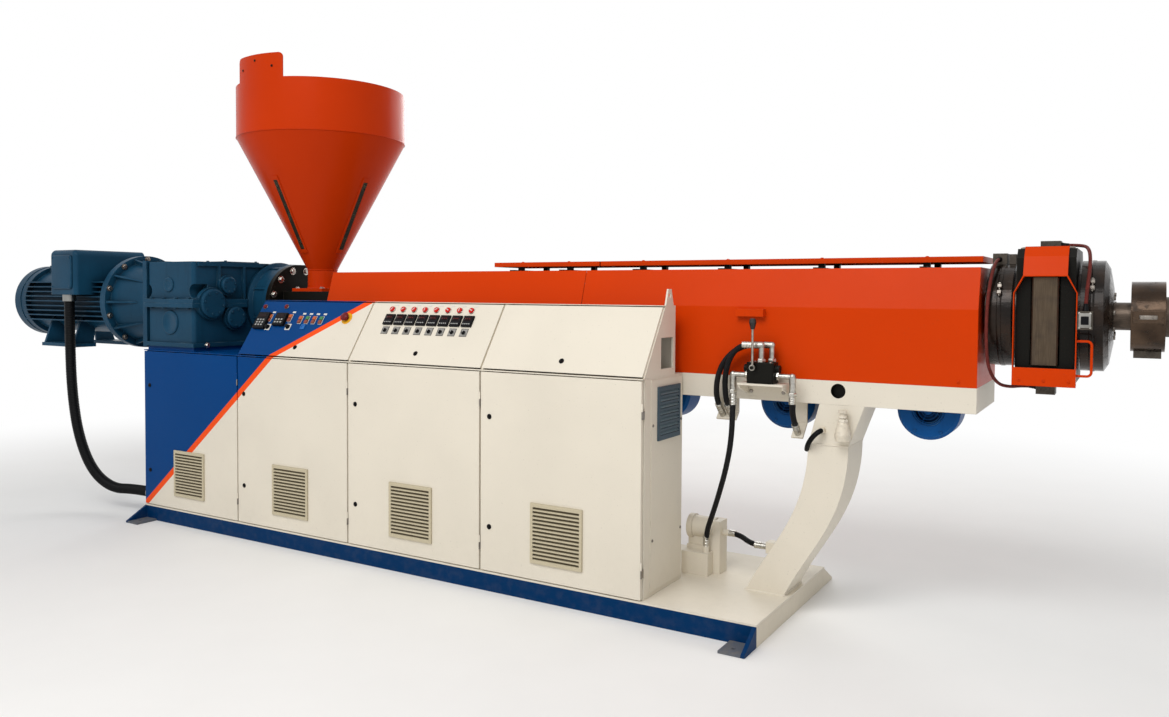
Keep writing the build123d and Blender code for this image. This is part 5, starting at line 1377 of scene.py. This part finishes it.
@dataclass
class Drive:
    """Motor, bell, gearbox and thrust housing with their bolts and covers.

    Each shaft cap has its Y and Z, its radius and its number of bolts.
    """

    motor_y: float = -0.185
    bell_faces: tuple[tuple[float, Triple], ...] = ((-2.770, RIGHTWARD), (-2.830, LEFTWARD))
    bell_circle: float = 0.326
    bell_count: int = 10
    plate_x: float = -2.345
    plate_y: Pair = (-0.478, 0.488)
    plate_z: tuple[float, ...] = (1.262, 1.44, 1.64, 1.815)
    split_x: tuple[float, ...] = (-2.235, -2.10, -1.965, -1.83)
    split_y: Pair = (-0.516, 0.536)
    split_corner: Pair = (-1.774, -0.49)
    split_z: float = 1.575
    split_thick: float = 0.06
    cap_face: float = -1.7333
    shaft_caps: tuple[tuple[float, float, float, int], ...] = (
        (-0.375, 1.545, 0.10, 8), (-0.245, 1.672, 0.06, 6), (-0.185, 1.444, 0.076, 6))
    drain: Point = (-1.774, -0.405, 1.254)
    small_cover: Point = (-2.06, -0.5, 1.675)
    wide_cover: Point = (-2.045, -0.5, 1.41)
    hatch: Point = (-2.05, 0.02, 1.835)
    hatch_bolts: tuple[Pair, Pair] = ((-2.15, -1.95), (-0.115, 0.155))
    hatch_thick: float = 0.013
    lid: Point = (-3.201, -0.6, 1.766)
    lid_screws: tuple[Pair, Pair] = ((-3.313, -3.089), (1.658, 1.874))
    lid_face: float = -0.611
    feed_face: float = -1.562
    feed_circle: float = 0.243

    def dress(self) -> None:
        """Paints the castings and adds bolts, covers and the bright feed ring bolts."""
        coat_nodes(PETROL, "gearbox_lower", "gearbox_upper", "bearing_caps", "thrust_housing",
                   "motor_lantern", "motor_frame", "motor_terminal_box")
        coat_nodes(COWL, "motor_fan_cowl")
        coat_nodes(BLACK, "feed_section")
        self.add_bell_bolts()
        self.add_gear_bolts()
        self.add_covers()
        ring = ring_places((self.feed_face, AXIS_Y, AXIS_Z), RIGHTWARD, self.feed_circle, 12, 15)
        Piece("feed_ring_bolts", Coat.BRIGHT, BRIGHT).bolts(0.019, ring, RIGHTWARD, 0.0025).make()

    def add_bell_bolts(self) -> None:
        """Bolts between the ribs of the bell, nuts on the motor side and bolts on its gearbox plate."""
        bolts = Piece("bell_bolts", Coat.STEEL, STEEL)
        for x, normal in self.bell_faces:
            ring = ring_places((x, self.motor_y, AXIS_Z), normal, self.bell_circle, self.bell_count)
            bolts.bolts(0.016, ring, normal, 0.002)
        bolts.add(hex_bolt(0.014), grid_places([self.plate_x], self.plate_y, self.plate_z), LEFTWARD).make()

    def add_gear_bolts(self) -> None:
        """Bolts through the split flange and round each shaft cap, and the drain plug."""
        front, rear = (grid_places(self.split_x, [y], [self.split_z]) for y in self.split_y)
        upper = np.concatenate([front, [(*self.split_corner, self.split_z)], rear])
        bolts = Piece("gearbox_bolts", Coat.PETROL, PETROL).add(hex_bolt(0.0125), upper, UP)
        bolts.add(hex_bolt(0.0125), upper - np.array((0, 0, self.split_thick)), DOWN)
        for y, z, radius, count in self.shaft_caps:
            ring = ring_places((self.cap_face, y, z), RIGHTWARD, radius * 0.74, count, 12)
            bolts.add(hex_bolt(0.0085), ring, RIGHTWARD)
        bolts.make()
        Piece("drain_plug", Coat.BRIGHT, BRIGHT).bolts(0.014, self.drain, RIGHTWARD, 0.002).make()

    def add_covers(self) -> None:
        """Turned blank covers on the gearbox face, its top hatch and the terminal box lid."""
        small = turned([(0, 0), (0.052, 0), (0.052, 0.004), (0.048, 0.008), (0.030, 0.008), (0.027, 0.0055),
                        (0, 0.0055)], 40)
        wide = turned([(0, 0), (0.086, 0), (0.086, 0.004), (0.081, 0.009), (0.055, 0.009), (0.050, 0.006),
                       (0, 0.006)], 48)
        lid = slab(0.132, 0.128, 0.03, [(0.004, 0), (0, 0.003), (0, 0.006), (0.006, 0.012), (0.03, 0.014)], 6)
        piece = Piece("gearbox_covers", Coat.PETROL, PETROL)
        piece.add(small, self.small_cover, FORWARD).add(wide, self.wide_cover, FORWARD)
        piece.add(chamfered(0.12, 0.16, 0.02, 0.003, self.hatch_thick), self.hatch, UP)
        piece.add(hex_bolt(0.010), grid_places(*self.hatch_bolts, [self.hatch[2] + self.hatch_thick]), UP)
        piece.add(lid, self.lid, FORWARD)
        screws_x, screws_z = self.lid_screws
        piece.add(pan_screw(0.009), grid_places(screws_x, [self.lid_face], screws_z), FORWARD).make()


@dataclass
class Hopper:
    """Hopper with its weld seams, tab screws and flange bolts.

    Each seam has its radius, its height and the radius of its bead.
    Each tab screw has its turn from the front, in degrees, and its height.
    """

    x: float = -1.32
    radius: float = 0.585
    seams: tuple[Point, ...] = ((0.585, 2.708, 0.0035), (0.104, 1.787, 0.004), (0.105, 1.655, 0.006))
    tab_screws: tuple[Pair, ...] = ((-15.0, 3.128), (-1.0, 3.175), (13.5, 3.128))
    flange_top: float = 1.655
    flange_bolts: float = 0.125

    def dress(self) -> None:
        """Paints the sheet work and adds seams, screws and bolts."""
        coat_nodes(HOPPER_ORANGE, "hopper_drum", "hopper_cone", "hopper_neck")
        coat_nodes(SIGHT, "sight_windows")
        seams = Piece("hopper_seams", Coat.ORANGE, HOPPER_ORANGE)
        for radius, height, bead in self.seams:
            seams.add(self.seam(radius, bead), (self.x, AXIS_Y, height))
        seams.make(80)
        screws = Piece("tab_screws", Coat.PLASTIC, BLACK)
        for turn, height in self.tab_screws:
            out = np.array((math.sin(math.radians(turn)), -math.cos(math.radians(turn)), 0.0))
            screws.add(pan_screw(0.0085), np.array((self.x, AXIS_Y, height)) + out * self.radius, out)
        screws.make()
        offsets = np.array((-self.flange_bolts, self.flange_bolts))
        corners = grid_places(self.x + offsets, AXIS_Y + offsets, [self.flange_top])
        Piece("hopper_bolts", Coat.BRIGHT, BRIGHT).bolts(0.013, corners, UP, 0.0016).make()

    def seam(self, radius: float, bead: float) -> Shape:
        """Weld bead: a small circle carried round the shell, its size rippling with the angle.

        Args:
            radius: radius of the shell.
            bead: radius of the bead.

        Returns:
            Shell radius plus bead times cosine, carried round, and bead times sine for the height.
        """
        sides, around = 160, 8
        turn = np.arange(sides) * (math.tau / sides)
        angle = np.linspace(0, math.tau, around + 1)[:, None]
        swell = bead * (1 + 0.12 * np.sin(turn * 40)[None])
        reach = radius + swell * np.cos(angle)
        points = np.stack([reach * np.cos(turn), reach * np.sin(turn), swell * np.sin(angle)], axis=-1)
        return points.reshape(-1, 3), grid_quads(around + 1, sides)


@dataclass
class BarrelLine:
    """Barrel, beam, guard and the row of blowers under it."""

    guard_y: float = -0.07
    guard_screws_x: tuple[float, ...] = (-0.90, 0.05, 0.98, 1.15, 2.10, 3.08)
    guard_screws_z: float = 1.238
    roof_screws_x: tuple[float, ...] = (0.549, 0.879, 1.375, 1.885, 2.395, 2.905)
    roof_screws_y: float = 0.139
    roof_z: float = 1.817
    blower_x: float = 2.927
    blower_pitch: float = 0.696
    blower_z: float = 1.085
    blower_front: float = 0.06
    blowers: int = 6
    inlet_rings: tuple[float, ...] = (0.030, 0.045, 0.060, 0.075)
    inlet_bar: float = 0.078
    rim_circle: float = 0.118

    def dress(self) -> None:
        """Paints the line and adds guard screws and the blowers' inlet guards."""
        coat_nodes(CREAM, "support_beam")
        coat_nodes(ORANGE, "guard_sides", "guard_covers")
        coat_nodes(RING, "barrel")
        coat_nodes(BLACK, "roof_spacers")
        coat_nodes(BLOWER, "cooling_blowers")
        screws = Piece("guard_screws", Coat.ORANGE, ORANGE)
        for y, normal in ((self.guard_y, FORWARD), (2 * AXIS_Y - self.guard_y, REARWARD)):
            screws.add(pan_screw(0.008), grid_places(self.guard_screws_x, [y], [self.guard_screws_z]), normal)
        edges = [AXIS_Y - self.roof_screws_y, AXIS_Y + self.roof_screws_y]
        screws.add(pan_screw(0.009), grid_places(self.roof_screws_x, edges, [self.roof_z]), UP).make()
        self.add_inlets()

    def add_inlets(self) -> None:
        """Wire rings and bars over each blower inlet, rim bolts, and a turned hub."""
        xs = self.blower_x - self.blower_pitch * np.arange(self.blowers)
        places = grid_places(xs, [self.blower_front - 0.001], [self.blower_z])
        piece = Piece("blower_inlets", Coat.BLOWER, BLOWER)
        for radius in self.inlet_rings:
            piece.add(hoop(radius, 0.0022), places, FORWARD)
        line = np.linspace(-self.inlet_bar, self.inlet_bar, 5)[:, None] * np.asarray(RIGHTWARD)
        for turn in (0.4, 0.4 + math.pi / 2):
            piece.add(swept(line, 0.0026, 8), places + np.array((0, 0.003, 0)), FORWARD,
                      (math.sin(turn), 0, math.cos(turn)))
        for x in xs:
            rim = ring_places((x, self.blower_front, self.blower_z), FORWARD, self.rim_circle, 6, 30)
            piece.add(hex_bolt(0.007), rim, FORWARD)
        piece.make(60)
        hub = turned([(0, 0), (0.022, 0), (0.022, 0.004), (0.016, 0.010), (0, 0.011)], 24)
        Piece("blower_hubs", Coat.BLOWER, BLOWER).add(hub, places, FORWARD).make()


RISING = (0, -math.sqrt(0.5), math.sqrt(0.5))


@dataclass
class Valve:
    """Lever valve on its bracket, the pump set and the fittings of the hoses.

    Each hose end and each nut has its place and the direction that it runs in.
    """

    sleeve: float = 0.0182
    groove: float = 0.0012
    mouth: float = 0.0148
    long_sleeve: float = 0.058
    short_sleeve: float = 0.036
    long_ends: tuple[tuple[Point, Triple], ...] = (
        ((2.020, -0.155, 1.130), DOWN), ((2.173, -0.127, 1.380), LEFTWARD),
        ((2.137, -0.178, 1.380), LEFTWARD), ((1.790, 0.055, 0.265), UP),
        ((1.915, -0.0547, 1.0247), RISING), ((1.965, -0.0547, 1.0247), RISING))
    short_ends: tuple[tuple[Point, Triple], ...] = (
        ((2.330, -0.155, 1.130), DOWN), ((2.330, -0.0842, 0.9637), RISING), ((1.890, 0.14, 0.330), RIGHTWARD),
        ((2.073, 0.14, 0.287), LEFTWARD))
    nuts: tuple[tuple[Point, Triple], ...] = (
        ((2.105, -0.155, 1.228), LEFTWARD), ((2.245, -0.155, 1.228), RIGHTWARD), ((2.213, -0.127, 1.295), UP),
        ((2.177, -0.178, 1.295), UP), ((2.020, -0.155, 1.150), DOWN), ((2.330, -0.155, 1.150), DOWN))
    block_screws: tuple[Pair, Pair] = ((2.126, 2.228), (-0.186, -0.124))
    block_top: float = 1.295
    bracket_x: Pair = (2.09, 2.26)
    bracket_y: float = -0.081
    bracket_z: float = 1.14

    def dress(self) -> None:
        """Finishes the valve set and adds sleeves, union nuts and screws."""
        coat_nodes(BLACK, "valve_body")
        coat_nodes(LEVER, "valve_lever")
        coat_nodes(FITTINGS, "pipe_fittings")
        coat_nodes(CREAM, "pump_unit")
        sleeves = Piece("hose_sleeves", Coat.BRIGHT, BRIGHT)
        for ends, reach in ((self.long_ends, self.long_sleeve), (self.short_ends, self.short_sleeve)):
            for place, away in ends:
                sleeves.add(self.sleeve_shape(reach), place, away)
        sleeves.make(30)
        nut = turned([(0, 0), (0.0205, 0), (0.0215, 0.002), (0.0215, 0.016), (0.0205, 0.018), (0, 0.018)], 6)
        nuts = Piece("union_nuts", Coat.BRIGHT, BRIGHT)
        for place, normal in self.nuts:
            nuts.add(nut, place, normal)
        nuts.add(pan_screw(0.0065), grid_places(*self.block_screws, [self.block_top]), UP).make()
        bracket = grid_places(self.bracket_x, [self.bracket_y], [self.bracket_z])
        Piece("bracket_bolts", Coat.STEEL, STEEL).add(hex_bolt(0.010), bracket, FORWARD).make()

    def sleeve_shape(self, reach: float) -> Shape:
        """Crimped tube: a turned profile whose radius drops at each pressed ring.

        Args:
            reach: length of the tube.

        Returns:
            Points and quads of the tube.
        """
        share = np.linspace(0, 1, 30)
        grooves = self.sleeve - self.groove * (np.sin(share * math.tau * 3.5) > 0.3)
        return turned([(0, 0), *zip(grooves, share * reach), (self.mouth, reach), (0, reach)], 20)


@dataclass
class DieEnd:
    """Screen changer, heater rings, hood and die neck.

    Each strap has its X, the radius of its ring and the turn of its screw from the top, in degrees.
    """

    hood_x: float = 3.554
    hood_y: float = -0.050
    handle_z: Pair = (1.289, 1.440)
    handle_out: float = 0.058
    handle_bend: float = 0.018
    handle_sunk: float = 0.003
    handle_bar: float = 0.0055
    straps: tuple[Point, ...] = ((3.236, 0.240, -62), (3.606, 0.250, -58))
    strap_half: float = 0.010
    clasp: Point = (3.817, 0.053, AXIS_Z)
    clasp_bolts: tuple[Point, ...] = ((3.793, 0.044, AXIS_Z), (3.841, 0.044, AXIS_Z))
    block_bolts: tuple[Pair, Pair] = ((3.33, 3.526), (0.04, 0.42))
    block_top: float = 1.845
    flange: Point = (3.686, AXIS_Y, AXIS_Z)
    flange_circle: float = 0.098
    tray_screws: tuple[float, ...] = (3.33, 3.428, 3.526)
    tray_z: float = 1.262
    front: float = -0.07
    switch: Point = (3.584, -0.07, 1.53)
    switch_screws: tuple[Pair, Pair] = ((3.563, 3.605), (1.499, 1.561))
    lead_ends: tuple[tuple[Point, Triple], ...] = (
        ((3.212, 0.185, 1.805), FORWARD), ((3.378, 0.210, 1.212), LEFTWARD),
        ((3.470, 0.210, 1.867), RIGHTWARD), ((3.586, -0.052, 1.570), UP))

    def dress(self) -> None:
        """Finishes the die end and adds handle, straps, bolts, switch cover and lead boots."""
        coat_nodes(BLACK, "changer_body")
        coat_nodes(SLIDE, "slide_plate")
        coat_nodes(STEEL, "slide_cylinder")
        coat_nodes(ORANGE, "changer_guard")
        coat_nodes(RING, "heater_rings")
        coat_nodes(NECK, "die_neck")
        coat_nodes(BOX, "heater_boxes")
        handle = swept(self.handle_line(), self.handle_bar, 10)
        Piece("hood_handle", Coat.ORANGE, ORANGE).add(handle).make(60)
        self.add_straps()
        self.add_clasp()
        self.add_bolts()
        self.add_switch_cover()
        self.add_boots()

    def handle_line(self) -> Array:
        """Bent bar from the hood out, up and back in: straight runs with a quarter turn at each corner."""
        low, high = self.handle_z
        bend, x, root = self.handle_bend, self.hood_x + self.handle_out, self.hood_x - self.handle_sunk
        quarter = np.linspace(0, math.pi / 2, 9)
        lower = np.stack([x - bend + bend * np.sin(quarter), low + bend - bend * np.cos(quarter)], axis=1)
        upper = lower[::-1] * np.array((1, -1)) + np.array((0, low + high))
        line = np.concatenate([[(root, low)], lower, upper, [(root, high)]])
        return np.stack([line[:, 0], np.full(len(line), self.hood_y), line[:, 1]], axis=1)

    def add_straps(self) -> None:
        """Clamp straps round the heater rings: flat bands with a rolled edge, drawn up by a screw."""
        bands = Piece("ring_straps", Coat.STEEL, RING)
        screws = Piece("strap_screws", Coat.STEEL, STEEL)
        lug = slab(0.011, 0.010, 0.003, [(0.002, 0), (0, 0.002), (0, 0.016), (0.003, 0.020)])
        half, flat = self.strap_half, self.strap_half * 0.6
        for x, radius, turn in self.straps:
            inner, edge, outer = radius - 0.002, radius + 0.0015, radius + 0.003
            strap = turned([(inner, -half), (edge, -half), (outer, -flat), (outer, flat), (edge, half),
                            (inner, half), (inner, -half)], 96)
            centre = np.array((x, AXIS_Y, AXIS_Z))
            bands.add(strap, centre, RIGHTWARD)
            angle = math.radians(turn)
            out = np.array((0.0, math.sin(angle), math.cos(angle)))
            side = np.array((0.0, math.cos(angle), -math.sin(angle)))
            foot = centre + out * (radius + 0.001)
            screws.add(lug, np.stack([foot + side * 0.016, foot - side * 0.016]), out, side)
            rod = foot + out * 0.012 + np.linspace(-0.034, 0.034, 4)[:, None] * side
            screws.add(swept(rod, 0.004, 10))
            screws.add(hex_bolt(0.009), foot + out * 0.012 + side * 0.026, side)
        bands.make()
        screws.make()

    def add_clasp(self) -> None:
        """Clasp on the die's heater band: a rounded bar with a bolt at each end."""
        bar = slab(0.034, 0.009, 0.003, [(0.002, 0), (0, 0.002), (0, 0.006), (0.003, 0.009)])
        Piece("band_clasp", Coat.STEEL, STEEL).add(bar, self.clasp, FORWARD) \
            .add(hex_bolt(0.009), self.clasp_bolts, FORWARD).make()

    def add_bolts(self) -> None:
        """Bolts on the changer block and its flange, and screws on the hood's tray."""
        ring = ring_places(self.flange, RIGHTWARD, self.flange_circle, 8, 10)
        Piece("changer_bolts", Coat.STEEL, STEEL) \
            .add(hex_bolt(0.012), grid_places(*self.block_bolts, [self.block_top]), UP) \
            .add(hex_bolt(0.011), ring, RIGHTWARD).make()
        tray = grid_places(self.tray_screws, [self.front], [self.tray_z])
        Piece("hood_screws", Coat.ORANGE, ORANGE).add(pan_screw(0.007), tray, FORWARD).make()

    def add_switch_cover(self) -> None:
        """Cover of the switch box: a raised rim round a dark well, with a screw at each corner."""
        screws_x, screws_z = self.switch_screws
        screws = grid_places(screws_x, [self.front], screws_z)
        Piece("switch_screws", Coat.BRIGHT, BRIGHT).add(pan_screw(0.0045), screws, FORWARD).make()
        rim = slab(0.024, 0.032, 0.004, [(0.001, 0), (0, 0.001), (0.001, 0.0025), (0.006, 0.003)])
        well = slab(0.015, 0.018, 0.002, [(0.001, 0.002), (0, 0.003), (0, 0.0038), (0.003, 0.0042)])
        Piece("switch_cover", Coat.STEEL, GREY_PLATE).add(rim, self.switch, FORWARD).make()
        Piece("switch_well", Coat.PLASTIC, INK).add(well, self.switch, FORWARD).make()

    def add_boots(self) -> None:
        """Tapered rubber boots where the heater leads leave their boxes: a turned cone with a waist."""
        boot = turned([(0.006, 0), (0.0125, 0), (0.0130, 0.003), (0.0125, 0.008), (0.0112, 0.009),
                       (0.0108, 0.013), (0.0112, 0.015), (0.0100, 0.017), (0.0086, 0.032), (0.006, 0.033),
                       (0.006, 0)], 20)
        boots = Piece("lead_boots", Coat.RUBBER, CONDUIT_RUBBER)
        for place, away in self.lead_ends:
            boots.add(boot, place, away)
        boots.make(50)


@dataclass
class Cord:
    """One hose, conduit or lead on its smooth route."""

    node: str
    diameter: float
    length: float
    route: tuple[Point, ...]
    finish: Finish
    coat: Coat
    lay: str = "hanging"
    stiffness: str = "stiff"

    def curve(self, bevel: float) -> bpy.types.Object:
        """Smooth curve with the route as control points.

        Args:
            bevel: radius of its round section, or 0 for a bare line.

        Returns:
            The curve's object.
        """
        data = bpy.data.curves.new(f"{self.node}_line", "CURVE")
        data.dimensions = "3D"
        data.resolution_u = 16
        data.bevel_depth = bevel
        data.bevel_resolution = 4
        data.use_fill_caps = True
        spline = data.splines.new("NURBS")
        spline.points.add(len(self.route) - 1)
        for point, place in zip(spline.points, self.route):
            point.co = (*place, 1.0)
        spline.order_u = 3
        spline.use_endpoint_u = True
        return linked(f"{self.node}_sleeve", data)

    def declare(self, made: bpy.types.Object, path: Array | None = None) -> None:
        """Sets the cord on the machine in place of its plain solid.

        Args:
            made: the cord's object.
            path: points that a mesh tube follows, or none for a curve; not used.
        """
        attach(made, Body.MACHINE.value)
        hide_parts(self.node)
        LOG.info("%s: cord of %.3f m", made.name, self.length)

    def dress(self) -> None:
        """Round hose along the route."""
        made = self.curve(self.diameter / 2)
        made.data.materials.append(self.finish.material())
        self.declare(made)


@dataclass
class RibbedCord(Cord):
    """Corrugated conduit: a tube along the route whose radius swells at every rib."""

    rib: float = 0.0125
    depth: float = 0.0028

    def dress(self) -> None:
        """Reads the smooth line, then carries a rippling circle along it."""
        line = self.curve(0.0)
        bare = bpy.data.meshes.new_from_object(line)
        coarse = np.empty(len(bare.vertices) * 3)
        bare.vertices.foreach_get("co", coarse)
        coarse = coarse.reshape(-1, 3)
        bpy.data.meshes.remove(bare)
        bpy.data.objects.remove(line)
        gone = np.concatenate([[0.0], np.cumsum(np.linalg.norm(np.diff(coarse, axis=0), axis=1))])
        steps = int(gone[-1] / self.rib) * 6
        share = np.linspace(0, gone[-1], steps + 1)
        path = np.stack([np.interp(share, gone, coarse[:, axis]) for axis in range(3)], axis=1)
        ripple = self.diameter / 2 - self.depth * (0.5 + 0.5 * np.cos(share * (math.tau / self.rib)))
        piece = Piece(f"{self.node}_sleeve", self.coat, self.finish)
        self.declare(piece.add(swept(path, ripple, 28)).make(80), path)


CONDUIT = RibbedCord("motor_conduit", 0.074, 1.955, (
    (-3.1908, -0.554, 1.547), (-3.1908, -0.554, 1.2438), (-3.1740, -0.5521, 0.858),
    (-3.1067, -0.5462, 0.5273), (-2.9638, -0.5288, 0.2724), (-2.7620, -0.4958, 0.1552),
    (-2.5518, -0.457, 0.169), (-2.350, -0.457, 0.169)), CONDUIT_RUBBER, Coat.RUBBER)
HOSE_ROUTES = (
    ("port_hose", 0.939, (
        (2.020, -0.155, 1.130), (2.020, -0.155, 1.0608), (2.0085, -0.1424, 0.8878), (1.9694, -0.113, 0.7321),
        (1.9119, -0.0647, 0.5851), (1.8475, 0.0004, 0.4510), (1.790, 0.055, 0.3385), (1.790, 0.055, 0.265))),
    ("pressure_hose", 0.537, (
        (2.173, -0.127, 1.380), (2.1033, -0.127, 1.380), (2.0234, -0.1269, 1.3551), (1.9563, -0.1265, 1.2903),
        (1.9227, -0.1260, 1.2105), (1.915, -0.1256, 1.1308), (1.915, -0.1007, 1.0707),
        (1.915, -0.0547, 1.0247))),
    ("return_hose", 0.477, (
        (2.137, -0.178, 1.380), (2.0906, -0.178, 1.380), (2.0372, -0.1728, 1.3551), (1.9925, -0.1591, 1.2903),
        (1.9702, -0.1424, 1.2105), (1.965, -0.1256, 1.1308), (1.965, -0.1007, 1.0707),
        (1.965, -0.0547, 1.0247))),
    ("side_hose", 0.188, (
        (2.330, -0.155, 1.130), (2.330, -0.155, 1.0698), (2.330, -0.1301, 1.0097), (2.330, -0.0842, 0.9637))),
    ("pump_hose", 0.19, (
        (1.890, 0.14, 0.330), (1.9449, 0.14, 0.330), (2.0181, 0.14, 0.287), (2.073, 0.14, 0.287))),
)
LEAD_ROUTES = (
    ("left_lead", 0.977, (
        (3.212, 0.185, 1.805), (3.212, 0.125, 1.805), (3.204, 0.042, 1.758), (3.196, -0.022, 1.665),
        (3.192, -0.053, 1.545), (3.192, -0.052, 1.415), (3.200, -0.032, 1.305), (3.230, 0.040, 1.230),
        (3.272, 0.142, 1.209), (3.317, 0.210, 1.212), (3.378, 0.210, 1.212))),
    ("right_lead", 0.502, (
        (3.470, 0.210, 1.867), (3.551, 0.210, 1.867), (3.586, 0.150, 1.850), (3.596, 0.058, 1.785),
        (3.592, -0.017, 1.697), (3.586, -0.052, 1.620), (3.586, -0.052, 1.570))),
)
HOSES = tuple(Cord(node, 0.029, length, route, HOSE_RUBBER, Coat.RUBBER)
              for node, length, route in HOSE_ROUTES)
LEADS = tuple(Cord(node, 0.015, length, route, BRAID, Coat.BRAID, "loose", "medium")
              for node, length, route in LEAD_ROUTES)


@dataclass
class Lamp:
    """One soft rectangular lamp that faces its aim."""

    name: str
    place: Point
    aim: Point
    size: Pair
    power: float

    def light(self) -> None:
        """Puts the lamp into the scene."""
        data = bpy.data.lights.new(self.name, "AREA")
        data.shape, data.energy = "RECTANGLE", self.power
        data.size, data.size_y = self.size
        stand(linked(self.name, data), facing(np.asarray(self.place) - np.asarray(self.aim)), self.place)


LAMPS = (Lamp("key", (0.8, -7.0, 7.0), (0.0, 0.0, 1.2), (7.0, 4.0), 360.0),
         Lamp("side", (1.8, -3.8, 5.6), (2.1, 0.0, 0.1), (2.0, 2.0), 55.0),
         Lamp("rear", (-1.0, 6.5, 5.0), (0.0, 0.0, 1.2), (7.0, 3.0), 200.0))


def stand(thing: bpy.types.Object, axes: Array, place: Triple) -> None:
    """Turns a lamp or camera to its axes and sets it in its place.

    Args:
        thing: the lamp's or camera's object.
        axes: matrix whose columns are its three axes.
        place: where it stands.
    """
    pose = np.eye(4)
    pose[:3, :3] = axes
    pose[:3, 3] = place
    thing.matrix_world = Matrix(pose.tolist())


@dataclass
class Studio:
    """Camera at the photograph's place, soft lamps, white surroundings and a pale floor."""

    eye: Point = (3.7851, -4.5685, 1.6410)
    yaw: float = 30.972
    pitch: float = 1.8425
    roll: float = 0.3322
    lens: float = 28.489
    shift: float = -0.0316
    sensor: float = 36.0
    view_end: float = 200.0
    ambient: float = 0.54
    floor_radius: float = 40.0
    fade: Pair = (3.5, 8.0)

    def build(self) -> None:
        """Sets up view, camera, surroundings, lamps and floor."""
        bpy.context.scene.view_settings.view_transform = "Standard"
        self.add_camera()
        self.add_world()
        for lamp in LAMPS:
            lamp.light()
        self.add_floor()

    def add_camera(self) -> None:
        """Camera from yaw, pitch and roll, which are in degrees."""
        yaw, pitch, roll = (math.radians(angle) for angle in (self.yaw, self.pitch, self.roll))
        level = np.array((-math.sin(yaw), math.cos(yaw), 0.0))
        ahead = level * math.cos(pitch) - np.array((0.0, 0.0, math.sin(pitch)))
        right = np.array((math.cos(yaw), math.sin(yaw), 0.0))
        up = np.cross(right, ahead)
        across = math.cos(roll) * right + math.sin(roll) * up
        rise = -math.sin(roll) * right + math.cos(roll) * up
        data = bpy.data.cameras.new("photo_camera")
        data.sensor_fit, data.sensor_width = "HORIZONTAL", self.sensor
        data.lens, data.shift_y = self.lens, self.shift
        data.clip_end = self.view_end
        camera = linked("photo_camera", data)
        stand(camera, np.stack([across, rise, -ahead], axis=1), self.eye)
        bpy.context.scene.camera = camera

    def add_world(self) -> None:
        """White to the eye and in reflections, softer as a light."""
        world = bpy.data.worlds.new("studio_world")
        bpy.context.scene.world = world
        g = Graph(world, "ShaderNodeBackground", "ShaderNodeOutputWorld")
        g.finish(Color=rgb("FFFFFF"), Strength=g.seen() * (1 - self.ambient) + self.ambient)

    def add_floor(self) -> None:
        """Pale disc of rings and spokes that fades into white away from the machine."""
        radius = np.linspace(0.0, self.floor_radius, 24)
        points, quads = turned(list(zip(radius, np.zeros_like(radius))), 64)
        mesh = welded_mesh("studio_floor", points, quads[:, ::-1])
        mesh.materials.append(self.floor_finish())
        linked("studio_floor", mesh)

    def floor_finish(self) -> bpy.types.Material:
        """Pale matt floor near the machine, plain white to the eye far from it."""
        made = bpy.data.materials.new("studio_floor")
        g = Graph(made)
        x, y, _ = g.axes()
        far = (x * x + y * y).root().rise(*self.fade) * g.seen()
        white = g.node("ShaderNodeEmission", {}, {"Color": rgb("FFFFFF"), "Strength": 1.0})
        g.finish(Base_Color=g.mix(g.noise(2.2, 3), rgb("F4F3F1"), rgb("EFEEEC")), Roughness=0.85,
                 Specular_IOR_Level=0.1)
        blend = g.node("ShaderNodeMixShader", {}, {0: far, 1: Sock(g, g.shader.outputs[0]), 2: white})
        g.feed(g.end.inputs[0], blend)
        return made


def main() -> None:
    """Builds the studio and every sub-assembly, and reports each piece."""
    logging.basicConfig(level=logging.INFO, format="%(name)s %(message)s")
    Studio().build()
    for cord in (CONDUIT, *HOSES, *LEADS):
        cord.dress()
    for assembly in (Base(), Cabinet(), Console(), Drive(), Hopper(), BarrelLine(), Valve(), DieEnd()):
        assembly.dress()
        LOG.info("%s dressed", type(assembly).__name__)


if __name__ == "__main__":
    main()
